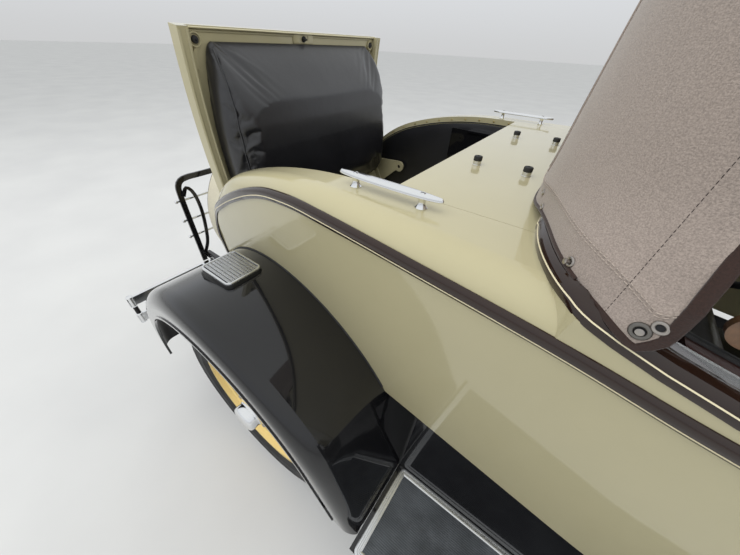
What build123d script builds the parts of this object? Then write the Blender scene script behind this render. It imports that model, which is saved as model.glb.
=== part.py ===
from build123d import *
import os
from math import cos, radians, sin, tan

# A two-seat roadster of about 1930 with a rumble seat, its soft top up and its lid open.
# Millimetres. +X is forward, +Y is the car's left, +Z is up, and the origin lies on the
# ground below the middle of the car. Most places are given from the rear axle.

# Driving dimensions
WHEELBASE = 2629.0
TRACK = 1460.0
REAR_AXLE_X = -1190.0
TYRE_RADIUS = 358.0
TYRE_WIDTH = 118.0
WHEEL_Y = TRACK / 2
AXLE_Z = TYRE_RADIUS
GAP = 5.5

# Body
BELT_Z = 1110.0
BODY_BOTTOM_Z = 612.0
SIDE_TAPER = 5.0
WALL = 42.0
ROLL = 54.0
REAR_X = -512.0
REAR_HALF = 512.0
WIDEST_X = 850.0
WIDEST_HALF = 638.0
DOOR_REAR_X = 945.0
DOOR_FRONT_X = 1480.0
DOOR_FRONT_HALF = 562.0
COWL_FRONT_X = 1700.0
COWL_FRONT_HALF = 440.0
DECK_Z = 1164.0
SILL_SLOPE = ((650.0, 1164.0), (705.0, 1145.0), (753.0, 1133.0), (821.0, 1121.0), (2400.0, 1112.0))
RAIL_RISE = 22.0
RAIL_PROUD = 2.0

# Rumble opening, from the rear axle
OPENING_FRONT_X = 304.0
OPENING_HALF = 464.0
LID_HALF = 457.0
GUTTER_HALF = 414.0
GUTTER_Z = 1112.0
GUTTER_REAR_X = 135.0
LID_PIVOT_X = -205.0
LID_PIVOT_Z = 877.0
LID_ANGLE = 82.0
LID_THICK = 18.0
PANEL_TOP_Z = 845.0
COCKPIT_REAR_X = 579.0
COCKPIT_CORNER = (
    # ahead of the rear axle, half-width: the rail's outer edge round the corner to the flank
    (579.0, 415.0), (582.0, 445.0), (587.0, 474.0), (594.0, 502.0), (604.0, 530.0), (616.0, 557.0),
    (629.0, 581.0), (643.0, 602.0), (657.0, 619.0), (673.0, 634.0), (694.0, 648.0), (720.0, 658.0),
    (780.0, 668.0),
)
BULKHEAD_X = 571.0

# Hood and radiator
HOOD_REAR_X = COWL_FRONT_X + GAP
HOOD_FRONT_X = 2540.0
SHELL_REAR_X = HOOD_FRONT_X + GAP
SHELL_FRONT_X = 2640.0
SHELL_HALF = 268.0
SHELL_TOP_Z = 1092.0
SHELL_BOTTOM_Z = 640.0
LOUVRES = 20
LOUVRE_PITCH = 33.0

# Wings and boards
BOARD_Z = 384.0
BOARD_INNER_Y = 609.0
BOARD_OUTER_Y = 851.0
BOARD_REAR_X = 507.0
BOARD_FRONT_X = 1690.0
FENDER_OUTER_Y = 831.0
FENDER_THICK = 5.0
FENDER_ROLL = 48.0
LIP_DEPTH = 85.0
HEM = 8.0

# Running gear
KINGPIN_Y = WHEEL_Y - 93
BACKPLATE_Y = WHEEL_Y - 56
ARM_LENGTH = 150.0
TIE_ROD_Z = 286.0
DRUM_RADIUS = 150.0
SPINDLE = 14.0
FIT = 0.1
STEERING_CENTER = (1188.0, 330.0, 1012.0)
STEERING_FOOT = (1640.0, 330.0, 650.0)
RAIL_BOTTOM_Z = 505.0
RAIL_TOP_Z = 600.0

# Ends of the car
FRONT_BUMPER_X = 3270.0
RACK_X = -860.0
SPARE_X = -745.0
SPARE_Z = 660.0

# Soft top, its rear at the deck
TOP_REAR_X = 548.0
REAR_BOW_X = 692.0


def at(x, y, z):
    """A place in the part's frame, from one measured from the rear axle's ground point."""
    return (REAR_AXLE_X + x, y, z)


def side_at(y):
    """The side view's plane at y: its x runs forward, its y up, its normal to the right."""
    return Plane(at(0, y, 0), x_dir=(1, 0, 0), z_dir=(0, -1, 0))


def plan_at(z):
    """The plan's plane at height z: its x runs forward and its y to the left."""
    return Plane(at(0, 0, z), x_dir=(1, 0, 0), z_dir=(0, 0, 1))


def cross_at(x):
    """The front view's plane at x: its x runs to the left and its y up."""
    return Plane(at(x, 0, 0), x_dir=(0, 1, 0), z_dir=(1, 0, 0))


def block(x_range, y_range, z_range, mode=Mode.ADD):
    """A box between two values on each axis, counted from the rear axle."""
    size = [high - low for low, high in (x_range, y_range, z_range)]
    middle = [(low + high) / 2 for low, high in (x_range, y_range, z_range)]
    with Locations(at(*middle)):
        Box(*size, mode=mode)


def rod(start, end, radius, mode=Mode.ADD):
    """A round bar between two points."""
    first = Vector(*at(*start))
    run = Vector(*at(*end)) - first
    with BuildSketch(Plane(first, z_dir=run)) as ring:
        Circle(radius)
    extrude(to_extrude=ring.sketch, amount=run.length, mode=mode)


def drum(center, radius, width, axis="Y", mode=Mode.ADD):
    """A disc or drum, its middle at center and its axis along the named one."""
    turn = {"Y": (90, 0, 0), "X": (0, 90, 0), "Z": (0, 0, 0)}[axis]
    with Locations(Location(at(*center), turn)):
        Cylinder(radius, width, mode=mode)


def side_outline(drop=0.0):
    """The side view of the body behind the cowl, its upper edge lowered by drop."""
    front = DOOR_FRONT_X + 300
    with BuildSketch(side_at(0)) as outline:
        with BuildLine():
            Line((front, DECK_Z), (250, DECK_Z))
            upper = TangentArc((250, DECK_Z), (-160, 1098), tangent=(-1, 0))
            lower = TangentArc((-160, 1098), (-455, 860), tangent=upper % 1)
            TangentArc((-455, 860), (REAR_X, 650), tangent=lower % 1)
            Polyline((REAR_X, 650), (REAR_X, 400), (front, 400), (front, DECK_Z))
        make_face()
        if drop:
            offset(amount=-drop, kind=Kind.INTERSECTION)
    return outline.sketch_local


def plan_outline(inset=0.0):
    """The body's outline in plan at the belt, behind the cowl, drawn in by inset."""
    slope = (WIDEST_HALF - REAR_HALF) / (WIDEST_X - REAR_X)
    rear = (REAR_X + inset, REAR_HALF - inset + slope * inset)
    widest = (WIDEST_X, WIDEST_HALF - inset)
    front = (DOOR_FRONT_X, DOOR_FRONT_HALF - inset)
    with BuildSketch(plan_at(BELT_Z)) as outline:
        with BuildLine():
            flank = Line(rear, widest)
            TangentArc(widest, front, tangent=flank % 1)
            Polyline(front, (front[0], 0), (rear[0], 0), rear)
        make_face()
        mirror(about=Plane.XZ)
    return outline.sketch_local


def body_form(inset, drop, bottom, roll=0.0):
    """The closed form of the body behind the cowl, drawn in by inset and lowered by drop."""
    lean = tan(radians(SIDE_TAPER))
    levels = [plan_at(z) * plan_outline(inset + (BELT_Z - z) * lean) for z in (bottom, DECK_Z + 36)]
    with BuildPart() as form:
        loft(sections=levels, ruled=True)
        extrude(to_extrude=side_at(0) * side_outline(drop), amount=900, both=True, mode=Mode.INTERSECT)
        if roll:
            front = at(DOOR_FRONT_X - 5, 0, 0)[0]
            flanks = form.edges().filter_by(lambda edge: abs(edge.center().Y) > 450)
            upper = flanks.filter_by(lambda edge: edge.center().Z > bottom + 5 and edge.center().X < front)
            seam = at(WIDEST_X, 0, 0)[0]
            fillet([edge for edge in upper if abs(edge.center().X - seam) > 5], roll)
    return form.part


def cockpit_outline(inset=0.0, beside=True):
    """The outer edge of the cockpit's rail in plan, drawn in by inset, also beside the body's flank."""
    with BuildSketch(plan_at(BELT_Z)) as opening:
        with BuildLine():
            start = (COCKPIT_REAR_X, 0)
            Polyline(start, *COCKPIT_CORNER, (780, 720), (2000, 720), (2000, 0), start)
        make_face()
        mirror(about=Plane.XZ)
        if inset:
            offset(amount=-inset, kind=Kind.INTERSECTION)
        if beside:
            add(plan_outline(inset), mode=Mode.INTERSECT)
    return opening.sketch_local


def sill_form(rise):
    """Everything below the slope that the cockpit's sill follows, raised by rise."""
    with BuildSketch(side_at(0)) as below:
        with BuildLine():
            slope = [(x, z + rise) for x, z in SILL_SLOPE]
            Polyline((-600, DECK_Z + rise), *slope, (2400, 500), (-600, 500), (-600, DECK_Z + rise))
        make_face()
    with BuildPart() as form:
        extrude(to_extrude=below.sketch, amount=900, both=True)
    return form.part


def arch_section(x, half, foot_half, foot_z, shoulder_z, crown_z, radius):
    """A section of the hood or cowl: a crowned top, rounded shoulders and near upright sides."""
    with BuildSketch(cross_at(x)) as section:
        with BuildLine():
            Polyline((-half, shoulder_z), (-foot_half, foot_z), (foot_half, foot_z), (half, shoulder_z))
            ThreePointArc((half, shoulder_z), (0, crown_z), (-half, shoulder_z))
        make_face()
        fillet(section.vertices().sort_by(Axis.Y)[-2:], radius)
    return section.sketch


def arch_form(rear, front):
    """The form between two arch sections, each given as a tuple of arch_section's values."""
    with BuildPart() as form:
        loft(sections=[arch_section(*rear), arch_section(*front)], ruled=True)
    return form.part


def thinned(section, wall):
    """The same arch section drawn in by a wall, and open below."""
    x, half, foot_half, foot_z, shoulder_z, crown_z, radius = section
    return x, half - wall, foot_half - wall, foot_z - 60, shoulder_z - wall, crown_z - wall, radius - wall


# Body shell, split where the real panels meet: a rolled upper edge that dies out at the cockpit
with BuildPart() as upright_wall:
    add(body_form(0.0, 0.0, BODY_BOTTOM_Z))
    column = plan_at(BODY_BOTTOM_Z - 10) * cockpit_outline(beside=False)
    extrude(to_extrude=column, amount=700, mode=Mode.INTERSECT)
rolled_form = body_form(0.0, 0.0, BODY_BOTTOM_Z, ROLL)
with BuildPart() as outer_shell:
    add(rolled_form)
    add(upright_wall.part)
    add(sill_form(0.0), mode=Mode.INTERSECT)
outer_form = outer_shell.part
inner_form = body_form(WALL, 26.0, BODY_BOTTOM_Z - 60)


def body_piece(x_range, y_range, z_range):
    """The stretch of the body's wall inside a box."""
    with BuildPart() as piece:
        block(x_range, y_range, z_range)
        add(outer_form, mode=Mode.INTERSECT)
        add(inner_form, mode=Mode.SUBTRACT)
    return piece


def rail_piece(x_range, inner_y=-800.0):
    """The rail that stands on the cockpit's sill, between two places fore and aft."""
    with BuildPart() as rail:
        extrude(to_extrude=plan_at(BELT_Z - 30) * cockpit_outline(-RAIL_PROUD), amount=200)
        add(sill_form(RAIL_RISE), mode=Mode.INTERSECT)
        extrude(to_extrude=plan_at(BELT_Z - 40) * cockpit_outline(WALL), amount=220, mode=Mode.SUBTRACT)
        add(sill_form(0.0), mode=Mode.SUBTRACT)
        block(x_range, (inner_y, 800), (1000, 1300), mode=Mode.INTERSECT)
    return rail


def mirrored(piece):
    """The same piece on the other side of the car."""
    with BuildPart() as other:
        add(mirror(piece.part, about=Plane.XZ))
    return other


# Quarter panels, from the tail to the doors, each with the gutter beside the lid
with BuildPart() as quarter_panel_left:
    add(body_piece((REAR_X - 5, DOOR_REAR_X - GAP / 2), (0, 700), (BODY_BOTTOM_Z - 5, DECK_Z + 5)).part)
    body_z = (BODY_BOTTOM_Z - 9, DECK_Z + 5)
    block((REAR_X - 5, OPENING_FRONT_X), (0, OPENING_HALF), body_z, mode=Mode.SUBTRACT)
    block((OPENING_FRONT_X - 1, COCKPIT_REAR_X + 70), (0, 455), body_z, mode=Mode.SUBTRACT)
    extrude(to_extrude=plan_at(BELT_Z) * cockpit_outline(WALL), amount=200, both=True, mode=Mode.SUBTRACT)
quarter_panel_right = mirrored(quarter_panel_left)

# Deck between the cockpit and the rumble opening
with BuildPart() as rear_deck:
    add(body_piece((OPENING_FRONT_X, COCKPIT_REAR_X + 120), (-454, 454), (DECK_Z - 60, DECK_Z + 5)).part)
    extrude(to_extrude=plan_at(BELT_Z) * cockpit_outline(WALL), amount=200, both=True, mode=Mode.SUBTRACT)

# Panel below the lid
with BuildPart() as rear_body_panel:
    block((REAR_X - 5, -430), (-OPENING_HALF + 0.5, OPENING_HALF - 0.5), (BODY_BOTTOM_Z - 5, PANEL_TOP_Z))
    add(outer_form, mode=Mode.INTERSECT)
    add(Pos(8, 0, 0) * outer_form, mode=Mode.SUBTRACT)

# Doors, each with its stretch of the rail, a handle and the moving knuckles of its hinges
HINGE_X = DOOR_FRONT_X - 2
HINGE_Y = 578.0
HINGES = [
    # height, the skin's half-width there
    (1030.0, 555.0),
    (760.0, 531.0),
]
with BuildPart() as door_left:
    door_x = (DOOR_REAR_X + GAP / 2, DOOR_FRONT_X - GAP)
    add(body_piece(door_x, (0, 700), (BODY_BOTTOM_Z + 8, DECK_Z + 5)).part)
    extrude(to_extrude=plan_at(BELT_Z) * cockpit_outline(WALL), amount=200, both=True, mode=Mode.SUBTRACT)
    add(rail_piece(door_x, 0.0).part)
    for z, skin in HINGES:
        block((HINGE_X - 60, HINGE_X), (skin - 6, HINGE_Y), (z - 25, z - 9))
        block((HINGE_X - 60, HINGE_X), (skin - 6, HINGE_Y), (z + 9, z + 25))
        block((HINGE_X - 14, HINGE_X), (skin - 6, HINGE_Y), (z - 9, z + 9), mode=Mode.SUBTRACT)
        for end in (-17, 17):
            drum((HINGE_X, HINGE_Y, z + end), 9, 16, axis="Z")
        drum((HINGE_X, HINGE_Y, z), 4 + FIT, 60, axis="Z", mode=Mode.SUBTRACT)
        drum((HINGE_X, HINGE_Y, z), 12, 18, axis="Z", mode=Mode.SUBTRACT)
    rod((1010, 618, 1010), (1010, 672, 1010), 8)
    rod((1000, 664, 1010), (1095, 664, 1006), 7)
door_right = mirrored(door_left)

# Cowl with its firewall and instrument panel
COWL_REAR = (DOOR_FRONT_X, DOOR_FRONT_HALF, DOOR_FRONT_HALF - 44, BODY_BOTTOM_Z, 1112.0, 1176.0, 45.0)
COWL_FRONT = (COWL_FRONT_X, COWL_FRONT_HALF, COWL_FRONT_HALF - 20, 640.0, 1030.0, 1128.0, 60.0)
COWL_WALL = 28.0
with BuildPart() as cowl:
    add(arch_form(COWL_REAR, COWL_FRONT))
    with BuildPart(mode=Mode.SUBTRACT):
        add(arch_form(thinned(COWL_REAR, COWL_WALL), thinned(COWL_FRONT, COWL_WALL)))
    firewall_section = arch_section(*COWL_FRONT)
    extrude(to_extrude=firewall_section, amount=-10)
    with BuildPart(mode=Mode.ADD):
        add(arch_form(thinned(COWL_REAR, COWL_WALL), thinned(COWL_FRONT, COWL_WALL)))
        block((DOOR_FRONT_X + 20, DOOR_FRONT_X + 40), (-700, 700), (1020, 1200), mode=Mode.INTERSECT)
    drum((DOOR_FRONT_X + 130, 0, 1160), 34, 30, axis="Z")
    for side in (-1, 1):
        for z, skin in HINGES:
            block((HINGE_X, HINGE_X + 30), sorted((side * (skin - 6), side * HINGE_Y)), (z - 8, z + 8))
            drum((HINGE_X, side * HINGE_Y, z), 9, 16, axis="Z")
            drum((HINGE_X, side * HINGE_Y, z), 4, 52, axis="Z")

# Hood halves, hinged at the middle
HOOD_REAR = (HOOD_REAR_X, COWL_FRONT_HALF, COWL_FRONT_HALF - 8, 712.0, 1030.0, 1128.0, 60.0)
HOOD_FRONT = (HOOD_FRONT_X, 262.0, 258.0, 700.0, 985.0, 1085.0, 55.0)
HOOD_WALL = 6.0
with BuildPart() as hood_left:
    add(arch_form(HOOD_REAR, HOOD_FRONT))
    with BuildPart(mode=Mode.SUBTRACT):
        add(arch_form(thinned(HOOD_REAR, HOOD_WALL), thinned(HOOD_FRONT, HOOD_WALL)))
    block((HOOD_REAR_X - 9, HOOD_FRONT_X + 9), (-500, 7), (500, 1300), mode=Mode.SUBTRACT)
    for index in range(LOUVRES):
        x = HOOD_REAR_X + 90 + index * LOUVRE_PITCH
        share = (x - HOOD_REAR_X) / (HOOD_FRONT_X - HOOD_REAR_X)
        skin = 436 + share * (259 - 436)
        for reach, mode in ((9.0, Mode.ADD), (5.5, Mode.SUBTRACT)):
            with BuildSketch(plan_at(758 + 9 - reach)) as scoop:
                Polygon((x, skin - 12), (x + 2 * reach + 8, skin - 12), (x, skin + reach), align=None)
            extrude(to_extrude=scoop.sketch, amount=170 + 2 * reach, mode=mode)
hood_right = mirrored(hood_left)

# Radiator shell with the hood's hinge rod, and the core inside it
SHELL_SECTION = (SHELL_REAR_X, SHELL_HALF, SHELL_HALF - 4, SHELL_BOTTOM_Z, 990.0, SHELL_TOP_Z, 55.0)
with BuildPart() as radiator_shell:
    extrude(to_extrude=arch_section(*SHELL_SECTION), amount=SHELL_FRONT_X - SHELL_REAR_X)
    core_hole = (SHELL_REAR_X, SHELL_HALF - 26, SHELL_HALF - 26, SHELL_BOTTOM_Z + 30, 950.0, 1030.0, 50.0)
    extrude(to_extrude=arch_section(*core_hole), amount=200, mode=Mode.SUBTRACT)
    drum((SHELL_FRONT_X - 45, 0, SHELL_TOP_Z + 12), 34, 40, axis="Z")
    rod((COWL_FRONT_X + 0.5, 0, 1124), (SHELL_REAR_X, 0, 1081), 4)
with BuildPart() as radiator_core:
    core = (SHELL_REAR_X, SHELL_HALF - 27, SHELL_HALF - 27, SHELL_BOTTOM_Z + 31, 949.0, 1029.0, 49.0)
    extrude(to_extrude=arch_section(*core), amount=SHELL_FRONT_X - SHELL_REAR_X - 18)


# Lid: the skin's curve closed, turned open about its pivot
def opened(piece):
    """A piece drawn with the lid closed, turned with the lid to where it stands open."""
    pivot = Pos(*at(LID_PIVOT_X, 0, LID_PIVOT_Z))
    return pivot * Rot(0, -LID_ANGLE, 0) * pivot.inverse() * piece


with BuildPart() as lid_closed:
    block((-447, OPENING_FRONT_X - GAP), (-LID_HALF, LID_HALF), (800, DECK_Z + 5))
    add(outer_form, mode=Mode.INTERSECT)
    for depth, half in ((LID_THICK, LID_HALF - 30), (LID_THICK + 22, LID_HALF + 5)):
        extrude(to_extrude=side_at(0) * side_outline(depth), amount=half, both=True, mode=Mode.SUBTRACT)
    for side in (-1, 1):
        with BuildSketch(side_at(side * 441)):
            with Locations((LID_PIVOT_X, LID_PIVOT_Z)):
                Circle(26)
            with BuildLine():
                Polyline((-230, 890), (-330, 975), (-215, 1052), (-180, 890), (-230, 890))
            make_face()
        extrude(amount=5, both=True)
        drum((LID_PIVOT_X, side * 441, LID_PIVOT_Z), 8 + FIT, 20, mode=Mode.SUBTRACT)
with BuildPart() as rumble_lid:
    add(opened(lid_closed.part))

with BuildPart() as cushion_closed:
    block((-300, 285), (-400, 400), (900, DECK_Z + 5))
    extrude(to_extrude=side_at(0) * side_outline(LID_THICK + 0.5), amount=500, both=True, mode=Mode.INTERSECT)
    extrude(to_extrude=side_at(0) * side_outline(LID_THICK + 105), amount=500, both=True, mode=Mode.SUBTRACT)
with BuildPart() as lid_cushion:
    add(opened(cushion_closed.part))

# Rumble compartment: gutters, pivot pins, the wall behind the front seat and the seat's riser
with BuildPart() as rumble_lining:
    for side in (-1, 1):
        near, far = sorted((side * GUTTER_HALF, side * (OPENING_HALF - 0.5)))
        block((GUTTER_REAR_X, OPENING_FRONT_X - 1), (near, far), (GUTTER_Z - 8, GUTTER_Z))
        drum((LID_PIVOT_X, side * 451, LID_PIVOT_Z), 8, 26)
        near, far = sorted((side * 420, side * 426))
        block((60, BULKHEAD_X), (near, far), (BODY_BOTTOM_Z, GUTTER_Z))
    block((BULKHEAD_X, BULKHEAD_X + 10), (-470, 470), (BODY_BOTTOM_Z, 1130))
    block((-150, 230), (-390, 390), (BODY_BOTTOM_Z, 640))
with BuildPart() as rumble_seat_cushion:
    block((-190, 250), (-400, 400), (640.5, 755))
    fillet(rumble_seat_cushion.edges(), 24)

# Floor
with BuildPart() as floor:
    block((-440, DOOR_FRONT_X + 60), (-430, 430), (RAIL_TOP_Z + 1, BODY_BOTTOM_Z - 0.5))
    with BuildSketch(side_at(0)):
        with BuildLine():
            Polyline((1535, 601), (1535, 613), (1680, 770), (1690, 762), (1545, 601), (1535, 601))
        make_face()
    extrude(amount=400, both=True)
    rod(STEERING_CENTER, STEERING_FOOT, 24, mode=Mode.SUBTRACT)

# Front seat
with BuildPart() as front_seat:
    block((740, 1190), (-505, 505), (BODY_BOTTOM_Z, 770))
    with BuildSketch(side_at(0)):
        with BuildLine():
            Polyline((606, 775), (634, 1120), (690, 1130), (770, 800), (745, 775), (606, 775))
        make_face()
    extrude(amount=505, both=True)
    fillet(front_seat.edges(), 16)

# Chassis rails with their crossmembers and the boards' brackets
with BuildPart() as frame_rails:
    for wall, low, high in ((0.0, RAIL_BOTTOM_Z, RAIL_TOP_Z), (5.0, RAIL_BOTTOM_Z + 5, RAIL_TOP_Z - 5)):
        with BuildSketch(plan_at(low)) as strips:
            with BuildLine():
                Polyline((-430, 400 - wall), (900, 400 - wall), (2760, 330 - wall), (2760, 285 - 3 * wall),
                         (900, 355 - 3 * wall), (-430, 355 - 3 * wall), (-430, 400 - wall))
            make_face()
            mirror(about=Plane.XZ)
        extrude(to_extrude=strips.sketch, amount=high - low, mode=Mode.SUBTRACT if wall else Mode.ADD)
    for x, half in ((-400, 392), (-35, 392), (1000, 390), (1620, 366), (2629, 328)):
        block((x - 25, x + 25), (-half, half), (RAIL_TOP_Z - 45, RAIL_TOP_Z))
    for x in (700, 1480):
        for side in (-1, 1):
            rod((x, side * 378, RAIL_BOTTOM_Z + 3), (x, side * 560, 336), 12)
            rod((x, side * 560, 336), (x, side * 760, 349.5), 12)

# Front axle: I-beam, transverse spring and radius rods
with BuildPart() as front_axle:
    with BuildSketch(cross_at(WHEELBASE - 24)) as beam:
        with BuildLine():
            Polyline((0, 286), (470, 286), (KINGPIN_Y - 18, 330), (KINGPIN_Y - 18, 386), (450, 342), (0, 342))
            Line((0, 342), (0, 286))
        make_face()
        mirror(about=Plane.YZ)
    extrude(to_extrude=beam.sketch, amount=48)
    for side in (-1, 1):
        drum((WHEELBASE, side * KINGPIN_Y, AXLE_Z), 22, 64, axis="Z")
        drum((WHEELBASE, side * KINGPIN_Y, AXLE_Z), 10, 140, axis="Z")
        rod((WHEELBASE - 20, side * 480, 330), (1700, side * 30, 415), 14)
    with BuildSketch(cross_at(WHEELBASE - 25)) as spring:
        with BuildLine():
            ThreePointArc((-430, 400), (0, 500), (430, 400))
            Line((430, 400), (430, 412))
            ThreePointArc((430, 412), (0, 548), (-430, 412))
            Line((-430, 412), (-430, 400))
        make_face()
    extrude(to_extrude=spring.sketch, amount=50)
    for side in (-1, 1):
        block((WHEELBASE - 20, WHEELBASE + 20), sorted((side * 400, side * 440)), (335, 405))

# Rear axle: housing, torque tube, transverse spring and radius rods
with BuildPart() as rear_axle:
    rod((0, -BACKPLATE_Y, AXLE_Z), (0, BACKPLATE_Y, AXLE_Z), 38)
    with Locations(at(0, 0, AXLE_Z)):
        Sphere(135)
    rod((0, 0, AXLE_Z), (1540, 0, 470), 36)
    for side in (-1, 1):
        drum((0, side * BACKPLATE_Y, AXLE_Z), DRUM_RADIUS - 2, 8)
        rod((0, side * 600, AXLE_Z), (0, side * (WHEEL_Y + 49), AXLE_Z), SPINDLE)
        rod((0, side * 600, AXLE_Z), (1350, side * 30, 450), 13)
        block((-55, -15), sorted((side * 500, side * 550)), (AXLE_Z, 430))
    with BuildSketch(cross_at(-60)) as spring:
        with BuildLine():
            ThreePointArc((-540, 420), (0, 505), (540, 420))
            Line((540, 420), (540, 432))
            ThreePointArc((540, 432), (0, 552), (-540, 432))
            Line((-540, 432), (-540, 420))
        make_face()
    extrude(to_extrude=spring.sketch, amount=50)

# Engine with its gearbox, one plain block
with BuildPart() as engine_block:
    block((1850, 2480), (-150, 150), (440, 940))
    block((1560, 1860), (-110, 110), (432, 552))

# Exhaust: the pipe, the silencer and the tail pipe, clear of the axles
with BuildPart() as exhaust:
    rod((1880, -175, 640), (1760, -290, 455), 22)
    with Locations(at(1760, -290, 455)):
        Sphere(22)
    rod((1760, -290, 455), (1330, -300, 455), 22)
    rod((1350, -300, 455), (950, -300, 455), 50)
    rod((955, -300, 455), (-470, -300, 450), 16)
    block((1860, 1960), (-190, -150.5), (620, 665))

# Steering knuckles: forks round the kingpins, spindles, brake plates and arms
with BuildPart() as knuckle_left:
    for z in (AXLE_Z + 45, AXLE_Z - 45):
        drum((WHEELBASE, KINGPIN_Y, z), 24, 22, axis="Z")
        block((WHEELBASE - 24, WHEELBASE + 24), (KINGPIN_Y, BACKPLATE_Y - 4), (z - 11, z + 11))
    block((WHEELBASE - 24, WHEELBASE + 24), (BACKPLATE_Y - 13, BACKPLATE_Y), (AXLE_Z - 56, AXLE_Z + 56))
    drum((WHEELBASE, BACKPLATE_Y, AXLE_Z), DRUM_RADIUS - 2, 8)
    rod((WHEELBASE, BACKPLATE_Y - 6, AXLE_Z), (WHEELBASE, WHEEL_Y + 49, AXLE_Z), SPINDLE)
    block((WHEELBASE - ARM_LENGTH, WHEELBASE), (KINGPIN_Y - 10, KINGPIN_Y + 10), (302, 318))
    drum((WHEELBASE - ARM_LENGTH, KINGPIN_Y, 310), 16, 16, axis="Z")
    drum((WHEELBASE - ARM_LENGTH, KINGPIN_Y, 290), 7, 40, axis="Z")
    drum((WHEELBASE, KINGPIN_Y, AXLE_Z), 10 + FIT, 160, axis="Z", mode=Mode.SUBTRACT)
knuckle_right = mirrored(knuckle_left)

# Tie rod between the knuckles' arms
with BuildPart() as tie_rod:
    eye_x = WHEELBASE - ARM_LENGTH
    rod((eye_x, -KINGPIN_Y, TIE_ROD_Z), (eye_x, KINGPIN_Y, TIE_ROD_Z), 10)
    for side, bore in ((1, 7 + FIT), (-1, 11)):
        drum((eye_x, side * KINGPIN_Y, TIE_ROD_Z), 18, 24, axis="Z")
        drum((eye_x, side * KINGPIN_Y, TIE_ROD_Z), bore, 60, axis="Z", mode=Mode.SUBTRACT)


# Wheels, drawn about the origin with the outer side towards +Y
def spoke_row(hub_radius, hub_y, rim_radius, rim_y, count, lean, start):
    """A row of round spokes between the hub and the rim, each leaning round by an angle."""
    for index in range(count):
        turn = radians(start + index * 360 / count)
        way = lean if index % 2 else -lean
        foot = Vector(hub_radius * cos(turn), hub_y, hub_radius * sin(turn))
        tip_turn = turn + radians(way)
        tip = Vector(rim_radius * cos(tip_turn), rim_y, rim_radius * sin(tip_turn))
        with BuildSketch(Plane(foot, z_dir=tip - foot)) as ring:
            Circle(3.8)
        extrude(to_extrude=ring.sketch, amount=(tip - foot).length)


with BuildPart() as wheel_form:
    with BuildSketch(Plane.XY) as rim:
        with BuildLine():
            Polyline((258, -44), (258, -38), (246, -38), (243, -24), (229, -18), (229, 18), (243, 24),
                     (246, 38), (258, 38), (258, 44), (242, 44), (237, 26), (224, 21), (224, -21),
                     (237, -26), (242, -44), (258, -44))
        make_face()
    revolve(rim.sketch, axis=Axis.Y)
    with BuildSketch(Plane.XY) as hub:
        with BuildLine():
            Polyline((SPINDLE + FIT, -46), (DRUM_RADIUS, -46), (DRUM_RADIUS, -18), (92, -14), (66, 0),
                     (58, 48), (48, 56), (48, 78), (44, 85), (34, 90), (0, 90), (0, 52),
                     (SPINDLE + FIT, 52), (SPINDLE + FIT, -46))
        make_face()
    revolve(hub.sketch, axis=Axis.Y)
    spoke_row(70, -6, 226.5, -12, 10, 16, 0)
    spoke_row(70, -6, 226.5, -2, 10, 16, 18)
    spoke_row(54, 42, 226.5, 12, 10, 6, 9)
with BuildPart() as tyre_form:
    half = TYRE_WIDTH / 2
    with BuildSketch(Plane.XY) as tread:
        with BuildLine():
            Line((246.5, -37), (246.5, 37))
            Line((246.5, 37), (258.5, 37))
            ThreePointArc((258.5, 37), (302, half), (345, 46))
            ThreePointArc((345, 46), (TYRE_RADIUS, 0), (345, -46))
            ThreePointArc((345, -46), (302, -half), (258.5, -37))
            Line((258.5, -37), (246.5, -37))
        make_face()
    revolve(tread.sketch, axis=Axis.Y)

WHEELS = [
    # name, distance ahead of the rear axle, side
    ("front_left", WHEELBASE, 1),
    ("front_right", WHEELBASE, -1),
    ("rear_left", 0.0, 1),
    ("rear_right", 0.0, -1),
]


def placed(form, x, y, z, turn=0.0):
    """A wheel or tyre set at a place and turned about the upright."""
    with BuildPart() as made:
        add(Location(at(x, y, z), (0, 0, turn)) * form.part)
    return made


wheel_pieces = {}
for name, x, side in WHEELS:
    turn = 0.0 if side > 0 else 180.0
    wheel_pieces["wheel_" + name] = placed(wheel_form, x, side * WHEEL_Y, AXLE_Z, turn)
    wheel_pieces["tyre_" + name] = placed(tyre_form, x, side * WHEEL_Y, AXLE_Z, turn)

# Spare wheel with its tyre and carrier, and its cover
with BuildPart() as spare_wheel:
    add(Location(at(SPARE_X, 0, SPARE_Z), (0, 0, 90)) * wheel_form.part)
    add(Location(at(SPARE_X, 0, SPARE_Z), (0, 0, 90)) * tyre_form.part)
    drum((SPARE_X + 22, 0, SPARE_Z), SPINDLE + 1, 60, axis="X")
    rod((SPARE_X + 40, 0, SPARE_Z), (-560, 0, 570), 20)
    block((-580, -426), (-30, 30), (552, 590))
with BuildPart() as spare_cover:
    with BuildSketch(Plane.XY) as cover:
        with BuildLine():
            Polyline((60, -66), (360, -66), (364, 52), (300, 66), (60, 66))
            Line((60, 66), (60, 62))
            Polyline((60, 62), (298, 62), (359.5, 50), (359.5, -62), (60, -62), (60, -66))
        make_face()
    revolve(cover.sketch, axis=Axis.Y)
spare_cover_piece = placed(spare_cover, SPARE_X, 0, SPARE_Z, 90)


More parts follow.
